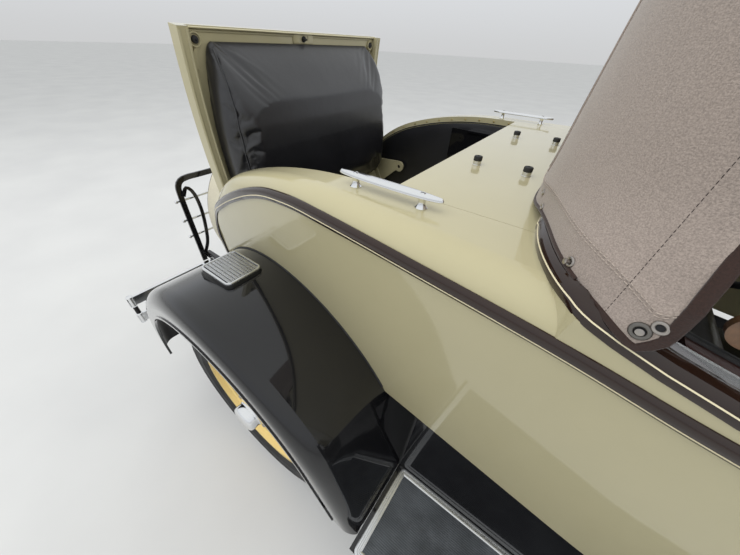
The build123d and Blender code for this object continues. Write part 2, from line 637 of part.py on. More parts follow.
def wing(outline, inner_y, lip_depth, thick, valance_z=0.0):
    """A wing on the left: a crowned shell with a rolled outer edge over an open wheel arch."""
    with BuildSketch(side_at(0)) as drawn_in:
        add(outline)
        offset(amount=-thick, kind=Kind.INTERSECTION)
    with BuildSketch(side_at(inner_y)) as arch:
        add(outline)
        offset(amount=-lip_depth, kind=Kind.INTERSECTION)
    forms = []
    for face, width, roll in (
        (side_at(0) * outline, FENDER_OUTER_Y, FENDER_ROLL),
        (drawn_in.sketch, FENDER_OUTER_Y - thick, FENDER_ROLL - thick),
    ):
        with BuildPart() as form:
            extrude(to_extrude=face, amount=-width)
            outer_edges = form.faces().sort_by(Axis.Y)[-1].edges()
            foot = outer_edges.sort_by(Axis.Z)[0]
            rear_end = outer_edges.sort_by(Axis.X)[0]
            fillet([edge for edge in outer_edges if edge not in (foot, rear_end)], roll)
        forms.append(form.part)
    with BuildPart() as piece:
        add(forms[0])
        add(forms[1], mode=Mode.SUBTRACT)
        extrude(to_extrude=arch.sketch, amount=-500, mode=Mode.SUBTRACT)
        block((-900, 3600), (-10, inner_y), (0, 1500), mode=Mode.SUBTRACT)
        with BuildSketch(side_at(FENDER_OUTER_Y - thick)) as hem:
            add(outline)
            offset(amount=-(lip_depth - HEM), kind=Kind.INTERSECTION)
            add(arch.sketch_local, mode=Mode.SUBTRACT)
        extrude(to_extrude=hem.sketch, amount=-(thick + 3))
        block((-900, 3600), (0, 900), (0, BOARD_Z - 22), mode=Mode.SUBTRACT)
        if valance_z:
            extrude(to_extrude=side_at(inner_y) * outline, amount=-thick)
            block((-900, 3600), (0, inner_y + thick + 1), (0, valance_z), mode=Mode.SUBTRACT)
    return piece


WING_FOOT_Z = 200.0
REAR_CREST = (-40.0, 350.0, 510.0)
REAR_ANGLES = (25.0, 90.0, 178.0)
FRONT_CREST = (2615.0, 345.0, 500.0)
FRONT_ANGLES = (0.0, 90.0, 128.0)
SWEEP_RADIUS = 474.0


def on_circle(crest, angle):
    """The point of a crest circle at an angle in degrees above the forward direction."""
    x, z, radius = crest
    return x + radius * cos(radians(angle)), z + radius * sin(radians(angle))


def rear_wing_outline():
    """The rear wing's side view: a straight rise from the board, then one arc over the wheel."""
    start, crest, end = [on_circle(REAR_CREST, angle) for angle in REAR_ANGLES]
    lean = radians(REAR_ANGLES[0])
    foot = (start[0] + (start[1] - WING_FOOT_Z) * sin(lean) / cos(lean), WING_FOOT_Z)
    with BuildSketch(side_at(0)) as outline:
        with BuildLine():
            Line(foot, start)
            ThreePointArc(start, crest, end)
            Polyline(end, (end[0], WING_FOOT_Z), foot)
        make_face()
    return outline.sketch_local


def front_wing_outline():
    """The front wing's side view: a hollow sweep up from the board, a line and an arc."""
    end, crest, start = [on_circle(FRONT_CREST, angle) for angle in FRONT_ANGLES]
    slope = radians(FRONT_ANGLES[2] - 90)
    corner_x = start[0] - (start[1] - BOARD_Z) * cos(slope) / sin(slope)
    run = SWEEP_RADIUS * sin(slope / 2) / cos(slope / 2)
    rise = (corner_x + run * cos(slope), BOARD_Z + run * sin(slope))
    foot = (corner_x - run, BOARD_Z)
    with BuildSketch(side_at(0)) as outline:
        with BuildLine():
            TangentArc(foot, rise, tangent=(1, 0))
            Line(rise, start)
            ThreePointArc(start, crest, end)
            Polyline(end, (end[0], WING_FOOT_Z), (foot[0], WING_FOOT_Z), foot)
        make_face()
    return outline.sketch_local


rear_wing = wing(rear_wing_outline(), 440.0, LIP_DEPTH, FENDER_THICK)
with BuildPart() as rear_fenders:
    add(rear_wing.part)
    add(rolled_form, mode=Mode.SUBTRACT)
    block((-600, -380), (430, 520), (100, BODY_BOTTOM_Z + 2), mode=Mode.SUBTRACT)
    block((BOARD_REAR_X - 2, 700), (430, 900), (100, BOARD_Z), mode=Mode.SUBTRACT)
    mirror(about=Plane.XZ)
front_wing = wing(front_wing_outline(), 440.0, LIP_DEPTH, FENDER_THICK, 560.0)
with BuildPart() as front_fenders:
    add(front_wing.part)
    block((2900, 3200), (430, 900), (100, 430), mode=Mode.SUBTRACT)
    mirror(about=Plane.XZ)

# Running boards and the aprons above them
with BuildPart() as running_boards:
    block((BOARD_REAR_X + 1, BOARD_FRONT_X - 1), (BOARD_INNER_Y, BOARD_OUTER_Y), (BOARD_Z - 22, BOARD_Z))
    mirror(about=Plane.XZ)
with BuildPart() as splash_aprons:
    for rear, front in (((BOARD_REAR_X + 2, 560.0), (950, 574.0)), ((950, 574.0), (BOARD_FRONT_X - 2, 440.0))):
        stations = []
        for x, top_y in (rear, front):
            with BuildSketch(cross_at(x)) as station:
                with BuildLine():
                    Polyline((BOARD_INNER_Y - 1, BOARD_Z - 22), (BOARD_INNER_Y - 1, BOARD_Z + 6),
                             (top_y, 607), (top_y - 5, 607), (BOARD_INNER_Y - 6, BOARD_Z - 22),
                             (BOARD_INNER_Y - 1, BOARD_Z - 22))
                make_face()
            stations.append(station.sketch)
        loft(sections=stations, ruled=True)
    mirror(about=Plane.XZ)

# Windshield
with BuildPart() as windshield_frame:
    WIND = Plane(at(1500, 0, 1176), x_dir=(0, 1, 0), z_dir=(1, 0, 0.06))
    with BuildSketch(WIND) as ring:
        with Locations((0, 252)):
            RectangleRounded(1100, 500, 24)
            RectangleRounded(1056, 456, 12, mode=Mode.SUBTRACT)
    extrude(to_extrude=ring.sketch, amount=9, both=True)
    for side in (-1, 1):
        rod((1510, side * 560, 1110), (1476, side * 560, 1640), 10)
with BuildPart() as windshield_glass:
    with BuildSketch(WIND) as pane:
        with Locations((0, 252)):
            RectangleRounded(1055, 455, 11.5)
    extrude(to_extrude=pane.sketch, amount=3, both=True)


# Soft top
def top_form(inset):
    """The soft top's outer form, drawn in by inset."""
    rear = TOP_REAR_X + inset
    with BuildPart() as form:
        with BuildSketch(plan_at(1100)) as plan:
            with BuildLine():
                Line((rear, 0), (rear, 300))
                TangentArc((rear, 300), (712, 612 - inset), tangent=(0, 1))
                Polyline((712, 612 - inset), (1490, 590 - inset), (1490, 0), (rear, 0))
            make_face()
            mirror(about=Plane.XZ)
        extrude(to_extrude=plan.sketch, amount=700)
        with BuildSketch(side_at(0)) as side_view:
            with BuildLine():
                Line((rear - 18, 1000), (rear + 52, 1640 - inset))
                ThreePointArc((rear + 52, 1640 - inset), (1020, 1745 - inset), (1490, 1680 - inset))
                Polyline((1490, 1680 - inset), (1490, 1000), (rear - 18, 1000))
            make_face()
        extrude(to_extrude=side_view.sketch, amount=800, both=True, mode=Mode.INTERSECT)
        roof = form.faces().sort_by(Axis.Z)[-1]
        fillet(roof.edges().filter_by(lambda e: e.center().X < at(1480, 0, 0)[0]), 60 - inset)
    return form.part


with BuildPart() as soft_top:
    add(top_form(0.0))
    add(top_form(6.0), mode=Mode.SUBTRACT)
    block((500, 1600), (-700, 700), (900, DECK_Z + RAIL_RISE + 2), mode=Mode.SUBTRACT)
    block((745, 1600), (-700, 700), (900, 1640), mode=Mode.SUBTRACT)
    block((1470, 1600), (-700, 700), (900, 1690), mode=Mode.SUBTRACT)
    block((500, 700), (-190, 190), (1430, 1580), mode=Mode.SUBTRACT)
with BuildPart() as top_bows:
    for side in (-1, 1):
        pivot = (800, side * 578, 1190)
        for knee in ((REAR_BOW_X, side * 560, 1600), (1040, side * 560, 1660), (1440, side * 560, 1640)):
            rod(pivot, knee, 8)
        drum(pivot, 20, 10)
    for x, z in ((REAR_BOW_X, 1600), (1040, 1660), (1440, 1640)):
        rod((x, -560, z), (x, 560, z), 10)

# Bumpers
with BuildPart() as front_bumper:
    for z in (462, 362):
        with BuildSketch(plan_at(z - 22)) as bar:
            with BuildLine():
                ThreePointArc((3180, -830), (FRONT_BUMPER_X, 0), (3180, 830))
                Line((3180, 830), (3168, 830))
                ThreePointArc((3168, 830), (FRONT_BUMPER_X - 12, 0), (3168, -830))
                Line((3168, -830), (3180, -830))
            make_face()
        extrude(to_extrude=bar.sketch, amount=44)
    for side in (-1, 1):
        block((3215, 3235), sorted((side * 250, side * 300)), (345, 480))
        block((2740, 3225), sorted((side * 262, side * 288)), (395, 430))
        block((2700, 2740), sorted((side * 262, side * 326)), (395, RAIL_BOTTOM_Z - 0.2))
with BuildPart() as rear_bumpers:
    for z in (455, 356):
        block((-790, -778), (420, 825), (z - 22, z + 22))
    block((-778, -762), (440, 480), (335, 477))
    block((-778, -340), (448, 474), (395, 425))
    block((-380, -340), (360, 474), (395, RAIL_BOTTOM_Z - 0.2))
    mirror(about=Plane.XZ)

# Luggage rack, folded up behind the spare
with BuildPart() as luggage_rack:
    for side in (-1, 1):
        block((RACK_X - 8, RACK_X + 8), sorted((side * 415, side * 440)), (440, 885))
        block((RACK_X, -400), sorted((side * 388, side * 416)), (455, 485))
        block((-430, -390), sorted((side * 360, side * 416)), (485, RAIL_BOTTOM_Z - 0.2))
    block((RACK_X - 8, RACK_X + 8), (-440, 440), (865, 890))
    for z in (776, 677, 589):
        block((RACK_X - 20, RACK_X - 8), (-452, 452), (z - 9, z + 9))

# Lamps
with BuildPart() as headlamps:
    rod((2750, -439.5, 800), (2750, 439.5, 800), 14)
    for side in (-1, 1):
        with BuildSketch(side_at(side * 330)) as bowl:
            with BuildLine():
                Line((2660, 930), (2805, 930))
                Line((2805, 930), (2805, 1045))
                ThreePointArc((2805, 1045), (2705, 1015), (2660, 930))
            make_face()
        revolve(bowl.sketch, axis=Axis(at(2700, side * 330, 930), (1, 0, 0)))
        rod((2750, side * 330, 800), (2750, side * 330, 860), 16)
with BuildPart() as tail_lamps:
    for side in (-1, 1):
        drum((-560, side * 520, 520), 45, 50, axis="X")
        block((-540, -410), sorted((side * 505, side * 517)), (512, 528))
        block((-422, -410), sorted((side * 400.2, side * 517)), (512, 528))

# Small fittings on the deck and the right wing
with BuildPart() as step_plate:
    block((-174, -38), (-696, -583), (866, 876))
with BuildPart() as grab_handles:
    for side in (-1, 1):
        for x in (241, 393):
            with Locations(at(x, side * 495, DECK_Z + 12.1)):
                Cone(15, 7, 24)
        with BuildSketch(plan_at(DECK_Z + 22)) as bar:
            with Locations((317, side * 495)):
                Ellipse(128, 13)
                Rectangle(170, 22)
        extrude(to_extrude=bar.sketch, amount=9)
with BuildPart() as deck_buffers:
    for x in (381, 501):
        for side in (-1, 1):
            drum((x, side * 182, DECK_Z + 10), 17, 20, axis="Z")

# Steering column and wheel
column_start = Vector(*at(*STEERING_CENTER))
column_way = (Vector(*at(*STEERING_FOOT)) - column_start).normalized()
with BuildPart() as steering_column:
    with BuildSketch(Plane(column_start, z_dir=column_way)) as tube:
        Circle(9)
    extrude(to_extrude=tube.sketch, amount=60)
    with BuildSketch(Plane(column_start + column_way * 40, z_dir=column_way)) as jacket:
        Circle(22)
    extrude(to_extrude=jacket.sketch, amount=530)
with BuildPart() as steering_wheel:
    rim_plane = Plane(column_start, z_dir=column_way)
    with Locations(rim_plane.location):
        Torus(205, 11)
        Cylinder(30, 40)
        with PolarLocations(100, 4):
            Box(205, 18, 8)
        Cylinder(9 + FIT, 90, mode=Mode.SUBTRACT)

# Rail behind and beside the cockpit, up to the doors
cockpit_rail = rail_piece((500, DOOR_REAR_X - GAP / 2))

PIECES = {
    "frame_rails": frame_rails,
    "front_axle": front_axle,
    "rear_axle": rear_axle,
    "engine_block": engine_block,
    "exhaust": exhaust,
    "knuckle_left": knuckle_left,
    "knuckle_right": knuckle_right,
    "tie_rod": tie_rod,
    "steering_column": steering_column,
    "steering_wheel": steering_wheel,
    "spare_wheel": spare_wheel,
    "spare_cover": spare_cover_piece,
    "cowl": cowl,
    "floor": floor,
    "quarter_panel_left": quarter_panel_left,
    "quarter_panel_right": quarter_panel_right,
    "rear_deck": rear_deck,
    "rear_body_panel": rear_body_panel,
    "rumble_lining": rumble_lining,
    "door_left": door_left,
    "door_right": door_right,
    "hood_left": hood_left,
    "hood_right": hood_right,
    "rumble_lid": rumble_lid,
    "cockpit_rail": cockpit_rail,
    "front_seat": front_seat,
    "rumble_seat_cushion": rumble_seat_cushion,
    "lid_cushion": lid_cushion,
    "front_fenders": front_fenders,
    "rear_fenders": rear_fenders,
    "running_boards": running_boards,
    "splash_aprons": splash_aprons,
    "step_plate": step_plate,
    "radiator_core": radiator_core,
    "radiator_shell": radiator_shell,
    "headlamps": headlamps,
    "tail_lamps": tail_lamps,
    "front_bumper": front_bumper,
    "rear_bumpers": rear_bumpers,
    "luggage_rack": luggage_rack,
    "windshield_frame": windshield_frame,
    "windshield_glass": windshield_glass,
    "soft_top": soft_top,
    "top_bows": top_bows,
    "grab_handles": grab_handles,
    "deck_buffers": deck_buffers,
    **wheel_pieces,
}

os.makedirs("parts", exist_ok=True)
for name, piece in PIECES.items():
    piece.part.label = name
    export_step(piece.part, f"parts/{name}.step")
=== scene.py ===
"""A rumble-seat roadster of about 1930, finished on its construction frame."""
from math import cos, pi, radians, sin, sqrt

import bmesh
import bpy
from mathutils import Matrix, Vector, noise
from mathutils.bvhtree import BVHTree
from mathutils.kdtree import KDTree


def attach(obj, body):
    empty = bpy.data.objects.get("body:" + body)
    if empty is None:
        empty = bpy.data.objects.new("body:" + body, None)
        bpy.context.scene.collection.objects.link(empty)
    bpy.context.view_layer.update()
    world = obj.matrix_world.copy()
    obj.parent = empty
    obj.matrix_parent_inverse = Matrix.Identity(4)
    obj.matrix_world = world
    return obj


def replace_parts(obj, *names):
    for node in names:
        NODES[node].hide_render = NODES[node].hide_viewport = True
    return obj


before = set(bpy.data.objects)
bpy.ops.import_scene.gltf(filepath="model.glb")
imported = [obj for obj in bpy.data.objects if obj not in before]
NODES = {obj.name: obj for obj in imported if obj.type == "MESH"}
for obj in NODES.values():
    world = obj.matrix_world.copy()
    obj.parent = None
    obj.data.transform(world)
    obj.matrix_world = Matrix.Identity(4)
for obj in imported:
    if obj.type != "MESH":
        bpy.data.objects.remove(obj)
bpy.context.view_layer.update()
SCENE = bpy.context.scene

MM = 0.001
FORWARD, LEFT, UP = Vector((1, 0, 0)), Vector((0, 1, 0)), Vector((0, 0, 1))
SIDES = {"left": 1, "right": -1}
REAR_AXLE_X = -1.190


def mm(x, y, z):
    """A place given in millimetres from the ground under the rear axle."""
    return Vector((REAR_AXLE_X + x * MM, y * MM, z * MM))


# Camera, found from the photograph's vanishing points and the car's known sizes
CAMERA_PLACE = mm(602, -951, 1395)
CAMERA_YAW = radians(55.28)
CAMERA_PITCH = radians(39.14)
CAMERA_ROLL = radians(2.72)
FOCAL_PIXELS = 289.3
PHOTO_WIDTH = 740
PHOTO_HEIGHT = 555
SENSOR = 36.0


def placed(name, data):
    """A new object in the scene."""
    obj = bpy.data.objects.new(name, data)
    SCENE.collection.objects.link(obj)
    return obj


def make_camera():
    data = bpy.data.cameras.new("camera")
    data.sensor_width = SENSOR
    data.lens = SENSOR * FOCAL_PIXELS / PHOTO_WIDTH
    data.clip_start = 0.02
    ahead = cos(CAMERA_PITCH)
    forward = Vector((-cos(CAMERA_YAW) * ahead, sin(CAMERA_YAW) * ahead, -sin(CAMERA_PITCH)))
    level = forward.cross(UP).normalized()
    above = level.cross(forward)
    right = cos(CAMERA_ROLL) * level + sin(CAMERA_ROLL) * above
    up = cos(CAMERA_ROLL) * above - sin(CAMERA_ROLL) * level
    camera = placed("camera", data)
    turn = Matrix((right, up, -forward)).transposed().to_4x4()
    camera.matrix_world = Matrix.Translation(CAMERA_PLACE) @ turn
    SCENE.camera = camera


make_camera()


# Materials
class Tree:
    """A node tree, with short calls for the nodes used here."""

    def __init__(self, tree):
        self.tree = tree

    def put(self, socket, value):
        """Links a socket to an output, or sets its value."""
        if hasattr(value, "is_output"):
            self.tree.links.new(value, socket)
        else:
            socket.default_value = value

    def node(self, kind, **values):
        made = self.tree.nodes.new("ShaderNode" + kind)
        for key, value in values.items():
            name = key.replace("_", " ")
            if name in made.inputs:
                self.put(made.inputs[name], value)
            else:
                setattr(made, key, value)
        return made

    def ramp(self, fac, stops):
        made = self.node("ValToRGB", Fac=fac)
        elements = made.color_ramp.elements
        while len(elements) < len(stops):
            elements.new(0.5)
        for element, (place, color) in zip(elements, stops):
            element.position = place
            element.color = (*color, 1.0)
        return made.outputs["Color"]


class Shader(Tree):
    """A material's node tree."""

    def __init__(self, name, color, roughness, metallic=0.0, **inputs):
        self.material = bpy.data.materials.new(name)
        self.material.use_nodes = True
        super().__init__(self.material.node_tree)
        self.color = color
        self.set("Base Color", (*color, 1.0))
        self.set("Roughness", roughness)
        self.set("Metallic", metallic)
        for key, value in inputs.items():
            self.set(key.replace("_", " "), value)
        self.material.diffuse_color = (*color, 1.0)

    def set(self, name, value):
        self.put(self.tree.nodes["Principled BSDF"].inputs[name], value)

    def place(self, scale=(1, 1, 1)):
        coords = self.node("TexCoord")
        return self.node("Mapping", Vector=coords.outputs["Object"], Scale=scale).outputs["Vector"]

    def noise(self, scale, detail=3.0, rough=0.5, stretch=(1, 1, 1)):
        return self.node("TexNoise", Vector=self.place(stretch), Scale=scale, Detail=detail,
                         Roughness=rough).outputs["Fac"]

    def level(self, fac, low, high):
        return self.node("MapRange", Value=fac, To_Min=low, To_Max=high).outputs["Result"]

    def tint(self, fac, low, high, start=0.3, end=0.7):
        """Lets the colour wander between two shades of itself."""
        stops = [(start, shade(self.color, low)), (end, shade(self.color, high))]
        self.set("Base Color", self.ramp(fac, stops))

    def bump(self, height, strength, distance):
        made = self.node("Bump", Height=height, Strength=strength, Distance=distance)
        self.set("Normal", made.outputs["Normal"])
        return made


def shade(color, factor):
    return tuple(min(1.0, channel * factor) for channel in color)


def paint(name, color, roughness=0.32, coat=1.0, dust=0.04):
    """Glossy enamel with a clear coat, slight ripple and a trace of dust."""
    made = Shader(name, color, roughness, Coat_Weight=coat, Specular_IOR_Level=0.1)
    made.tint(made.noise(2.2, 5.0, 0.6), 1 - dust, 1 + dust)
    made.set("Coat Roughness", made.level(made.noise(9.0, 4.0), 0.02, 0.07))
    made.bump(made.noise(26.0, 2.0), 0.025, 0.002)
    return made.material


def metal(name, color, roughness):
    """Bright metal with faint smears in its polish."""
    made = Shader(name, color, roughness, 1.0)
    made.set("Roughness", made.level(made.noise(18.0, 6.0), roughness * 0.7, roughness * 1.6))
    made.bump(made.noise(420.0, 2.0), 0.015, 0.0005)
    return made.material


def rubber(name, color, roughness=0.62):
    """A dull, finely pitted surface."""
    made = Shader(name, color, roughness)
    made.tint(made.noise(14.0, 6.0, 0.6), 0.75, 1.5, 0.35)
    made.set("Roughness", made.level(made.noise(40.0, 4.0), roughness - 0.08, roughness + 0.12))
    made.bump(made.noise(700.0, 3.0), 0.08, 0.0006)
    return made.material


def leathercloth(name, color, roughness=0.36):
    """Grained leathercloth with a soft shine and faint creases."""
    made = Shader(name, color, roughness, Coat_Weight=0.6, Coat_Roughness=0.24)
    made.tint(made.noise(5.0, 4.0), 0.8, 1.35, end=0.75)
    made.set("Roughness", made.level(made.noise(12.0, 5.0), roughness - 0.06, roughness + 0.12))
    pores = made.node("TexVoronoi", Vector=made.place(), Scale=620.0)
    crease = made.node("Bump", Height=made.noise(7.0, 5.0, 0.6), Strength=0.22, Distance=0.012)
    grain = made.bump(pores.outputs["Distance"], 0.22, 0.0009)
    made.put(grain.inputs["Normal"], crease.outputs["Normal"])
    return made.material


def canvas(name, color):
    """Woven top cloth: fine speckled threads, a soft sheen and faint soiling."""
    made = Shader(name, color, 0.82, Sheen_Weight=0.25, Sheen_Roughness=0.5)
    speck = 620.0
    weave = made.node("Math", operation="ADD")
    made.put(weave.inputs[0], made.noise(speck, 2.0, 0.6, (1, 1, 0.35)))
    made.put(weave.inputs[1], made.noise(speck, 2.0, 0.6, (0.35, 0.35, 1)))
    tone = made.ramp(made.noise(speck, 2.0, 0.7),
                     [(0.36, shade(color, 0.80)), (0.5, color), (0.64, shade(color, 1.20))])
    stain = made.ramp(made.noise(3.0, 6.0, 0.6), [(0.3, (0.82, 0.80, 0.78)), (0.7, (1, 1, 1))])
    soiled = made.node("Mix", data_type="RGBA", blend_type="MULTIPLY", Factor=0.5, A=tone, B=stain)
    made.set("Base Color", soiled.outputs["Result"])
    made.bump(weave.outputs["Value"], 0.5, 0.0012)
    return made.material


def grained_wood(name, color):
    """Varnished wood with long grain."""
    made = Shader(name, color, 0.35, Coat_Weight=0.6, Coat_Roughness=0.12)
    grain = made.noise(60.0, 6.0, 0.65, (1, 0.06, 1))
    made.tint(grain, 0.55, 1.4)
    made.bump(grain, 0.08, 0.0008)
    return made.material


def clear_glass(name, color, flutes=0.0):
    """Clear glass with a faint unevenness of tint; flutes makes a lamp's ribbed lens."""
    made = Shader(name, color, 0.0, Transmission_Weight=1.0, IOR=1.5)
    made.tint(made.noise(4.0, 4.0), 0.97, 1.03)
    if flutes:
        ribs = made.node("TexWave", Vector=made.place(), Scale=flutes, bands_direction="Y")
        made.bump(ribs.outputs["Fac"], 0.6, 0.003)
    return made.material


MATERIALS = (
    # key, material, slot, how the names of the construction nodes that wear it start
    ("body", paint("stone_paint", (0.45, 0.408, 0.25)), "body_paint",
     "cowl quarter_panel rear_deck rear_body door hood rumble_lid"),
    ("black", paint("black_paint", (0.006, 0.006, 0.007), 0.2, dust=0.2), "black_paint",
     "frame front_axle rear_axle knuckle tie_rod steering_column floor rumble_lining front_fenders "
     "rear_fenders running_boards splash"),
    ("brown", paint("brown_paint", (0.016, 0.006, 0.003), 0.25, dust=0.15), "rail_paint", "cockpit_rail"),
    ("satin", paint("satin_brown", (0.03, 0.008, 0.005), 0.5, coat=0.1, dust=0.3), "rail_paint", ""),
    ("cream_line", paint("pinstripe_paint", (0.80, 0.72, 0.50), 0.4, coat=0.4), "rail_paint", ""),
    ("yellow", paint("straw_paint", (0.86, 0.66, 0.27), 0.35, coat=0.6), "wheel_paint", "spare_wheel wheel"),
    ("iron", paint("black_enamel", (0.012, 0.012, 0.012), 0.45, coat=0.3, dust=0.3), "iron",
     "engine radiator_core exhaust"),
    ("red_glass", paint("red_lens", (0.45, 0.008, 0.008), 0.15, dust=0.2), "glass", ""),
    ("chrome", metal("chrome_plate", (0.83, 0.84, 0.85), 0.07), "chrome",
     "radiator_shell headlamps tail_lamps front_bumper rear_bumpers luggage windshield_frame grab"),
    ("aluminium", metal("polished_aluminium", (0.72, 0.73, 0.74), 0.22), "aluminium", "step_plate"),
    ("brass", metal("brass_fitting", (0.55, 0.42, 0.16), 0.3), "chrome", ""),
    ("nickel", metal("aged_nickel", (0.42, 0.39, 0.36), 0.3), "chrome", ""),
    ("old_nickel", metal("tarnished_nickel", (0.2, 0.19, 0.175), 0.35), "chrome", ""),
    ("rubber", rubber("black_rubber", (0.018, 0.018, 0.018)), "rubber", "deck_buffers steering_wheel"),
    ("tyre", rubber("tyre_rubber", (0.022, 0.022, 0.023), 0.7), "tyre", "tyre"),
    ("mat", rubber("ribbed_mat", (0.062, 0.068, 0.075), 0.5), "rubber", ""),
    ("dial", rubber("dial_face", (0.55, 0.53, 0.46), 0.4), "glass", ""),
    # Dull near-black: painted shade in the handles' screw slots and the snaps' sockets, and the dials' real
    # black ticks and hands
    ("dark", rubber("painted_shade_and_black_print", (0.012, 0.012, 0.013), 0.8), "black_paint", ""),
    ("dark_thread", rubber("dark_thread", (0.03, 0.022, 0.02), 0.7), "leather", ""),
    ("leather", leathercloth("black_leathercloth", (0.012, 0.012, 0.014)), "leather",
     "front_seat rumble_seat_cushion lid_cushion"),
    ("canvas", canvas("tan_top_cloth", (0.315, 0.262, 0.228)), "canvas", "soft_top"),
    ("binding", canvas("brown_binding", (0.028, 0.012, 0.008)), "canvas", ""),
    ("thread", canvas("tan_thread", (0.37, 0.31, 0.265)), "canvas", ""),
    ("cover", canvas("cream_cover_cloth", (0.62, 0.58, 0.45)), "cover_cloth", "spare_cover"),
    ("wood", grained_wood("varnished_wood", (0.14, 0.07, 0.03)), "wood", "top_bows"),
    ("glass", clear_glass("clear_glass", (0.93, 0.97, 0.96)), "glass", "windshield_glass"),
    ("lens", clear_glass("fluted_lens", (0.94, 0.97, 0.97), 26.0), "glass", ""),
)
FINISH = {key: (material, slot) for key, material, slot, _ in MATERIALS}
for _, material, _, starts in MATERIALS:
    for name, node in NODES.items():
        for slot in node.material_slots if name.startswith(tuple(starts.split())) else ():
            slot.material = material


# Shapes: pairs of points and faces, in metres, from sizes given in millimetres
def piece(name, shapes, finish, body="chassis"):
    """One object from a list of shapes, cleaned, smoothed and riding on a body."""
    made = bmesh.new()
    for points, faces in shapes:
        verts = [made.verts.new(point) for point in points]
        for face in faces:
            corners = [verts[index] for index in face]
            try:
                made.faces.new(corners)
            except ValueError:
                continue
    bmesh.ops.remove_doubles(made, verts=made.verts, dist=2e-6)
    bmesh.ops.dissolve_degenerate(made, dist=1e-7, edges=made.edges)
    bmesh.ops.recalc_face_normals(made, faces=made.faces)
    mesh = bpy.data.meshes.new(name)
    made.to_mesh(mesh)
    made.free()
    material, slot = FINISH[finish]
    mesh.materials.append(material)
    mesh.shade_smooth()
    mesh.set_sharp_from_angle(angle=radians(38))
    obj = placed(name, mesh)
    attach(obj, body)
    return obj


def grid(rows, wrap=False, closed=False):
    """Rows of points joined into quads; wrap joins each row's ends, closed the last row to the first."""
    count = len(rows[0])
    points = [point for row in rows for point in row]
    faces = []
    for i in range(len(rows) if closed else len(rows) - 1):
        after = (i + 1) % len(rows)
        for j in range(count if wrap else count - 1):
            k = (j + 1) % count
            faces.append((i * count + j, i * count + k, after * count + k, after * count + j))
    return points, faces


def capped(rows):
    """Rows of ring points joined, with both ends filled."""
    points, faces = grid(rows, wrap=True)
    count = len(rows[0])
    ends = [tuple(range(count)), tuple(range(len(points) - count, len(points)))]
    return points, faces + ends


def tangents(path, closed=False):
    last = len(path) - 1
    made = []
    for i in range(len(path)):
        before = path[i - 1] if i or closed else path[0]
        after = path[(i + 1) % len(path)] if i < last or closed else path[last]
        made.append((after - before).normalized())
    return made


def sweep(path, sections, normals, side=1, closed=False):
    """Sections carried along a path: their first value runs across it, the second along the normals.

    One section or one normal serves the whole path.
    """
    rows = []
    for i, (point, along) in enumerate(zip(path, tangents(path, closed))):
        normal = normals if isinstance(normals, Vector) else normals[i]
        section = sections[i] if isinstance(sections[0], list) else sections
        up = (normal - along * normal.dot(along)).normalized()
        across = up.cross(along) * side
        rows.append([point + across * (u * MM) + up * (v * MM) for u, v in section])
    return grid(rows, wrap=True, closed=True) if closed else capped(rows)


def tube(path, radius, sides=10, closed=False):
    """A round bar along a path."""
    normal = (path[1] - path[0]).orthogonal().normalized()
    normals = []
    for along in tangents(path, closed):
        normal = (normal - along * normal.dot(along)).normalized()
        normals.append(normal)
    turns = [2 * pi * k / sides for k in range(sides)]
    return sweep(path, tuple((radius * cos(t), radius * sin(t)) for t in turns), normals, closed=closed)


def lathe(profile, place, axis, segments=40):
    """A turned form: pairs of radius and distance along the axis."""
    axis = Vector(axis).normalized()
    first = axis.orthogonal().normalized()
    second = axis.cross(first)
    turns = [2 * pi * k / segments for k in range(segments)]
    spokes = [first * cos(t) + second * sin(t) for t in turns]
    return grid([[place + axis * (along * MM) + spoke * (radius * MM) for spoke in spokes]
                 for radius, along in profile], wrap=True)


def rounded(width, depth, front, back, steps):
    """A box's outline about the middle of its width, its corners rounded at each end of its depth."""
    made = []
    for sx, far, radius, start in ((1, 1, front, 0), (-1, 1, front, 90), (-1, 0, back, 180), (1, 0, back, 270)):
        for k in range(steps + 1):
            turn = radians(start + 90 * k / steps)
            made.append((sx * (width / 2 - radius) + radius * cos(turn),
                         (depth - radius if far else radius) + radius * sin(turn)))
    return made


def outline(width, depth, corner, steps=6):
    """A rounded rectangle about its middle."""
    return [(u, v - depth / 2) for u, v in rounded(width, depth, corner, corner, steps)]


def flat_ring(place, across, along, width, depth, corner, height, steps=6):
    """A rounded rectangle lying across two directions, at a height over them."""
    rise = across.cross(along) * (height * MM)
    return [place + across * (u * MM) + along * (v * MM) + rise
            for u, v in outline(width, depth, corner, steps)]


def stack(place, across, along, levels):
    """Rounded rectangles stacked along the normal: width, depth, corner radius and height of each."""
    return capped([flat_ring(place, across, along, *level) for level in levels])


def bar(x_range, y_range, z_range, edge=1.5):
    """A flat bar between two values on each axis, with eased edges."""
    (x0, x1), (y0, y1), (z0, z1) = x_range, y_range, z_range
    width, depth = x1 - x0, y1 - y0
    levels = [(width - 2 * edge, depth - 2 * edge, edge, z0), (width, depth, edge * 1.5, z0 + edge),
              (width, depth, edge * 1.5, z1 - edge), (width - 2 * edge, depth - 2 * edge, edge, z1)]
    return stack(mm((x0 + x1) / 2, (y0 + y1) / 2, 0), FORWARD, LEFT, levels)


def spline(a, b, c, d, t):
    """A smooth curve's value between b and c."""
    return 0.5 * (2 * b + (c - a) * t + (2 * a - 5 * b + 4 * c - d) * t * t
                  + (3 * b - a - 3 * c + d) * t * t * t)


def curve_through(points, spacing=10.0):
    """A smooth line through points, sampled evenly enough for a sweep."""
    points = [Vector(point) for point in points]
    ends = [points[0] * 2 - points[1], *points, points[-1] * 2 - points[-2]]
    made = []
    for a, b, c, d in zip(ends, ends[1:], ends[2:], ends[3:]):
        count = max(1, round((c - b).length / spacing))
        made += [spline(a, b, c, d, k / count) for k in range(count)]
    return [*made, points[-1]]


def bent(points, spacing=10.0):
    """A smooth line through places in millimetres."""
    return [mm(*point) for point in curve_through(points, spacing)]


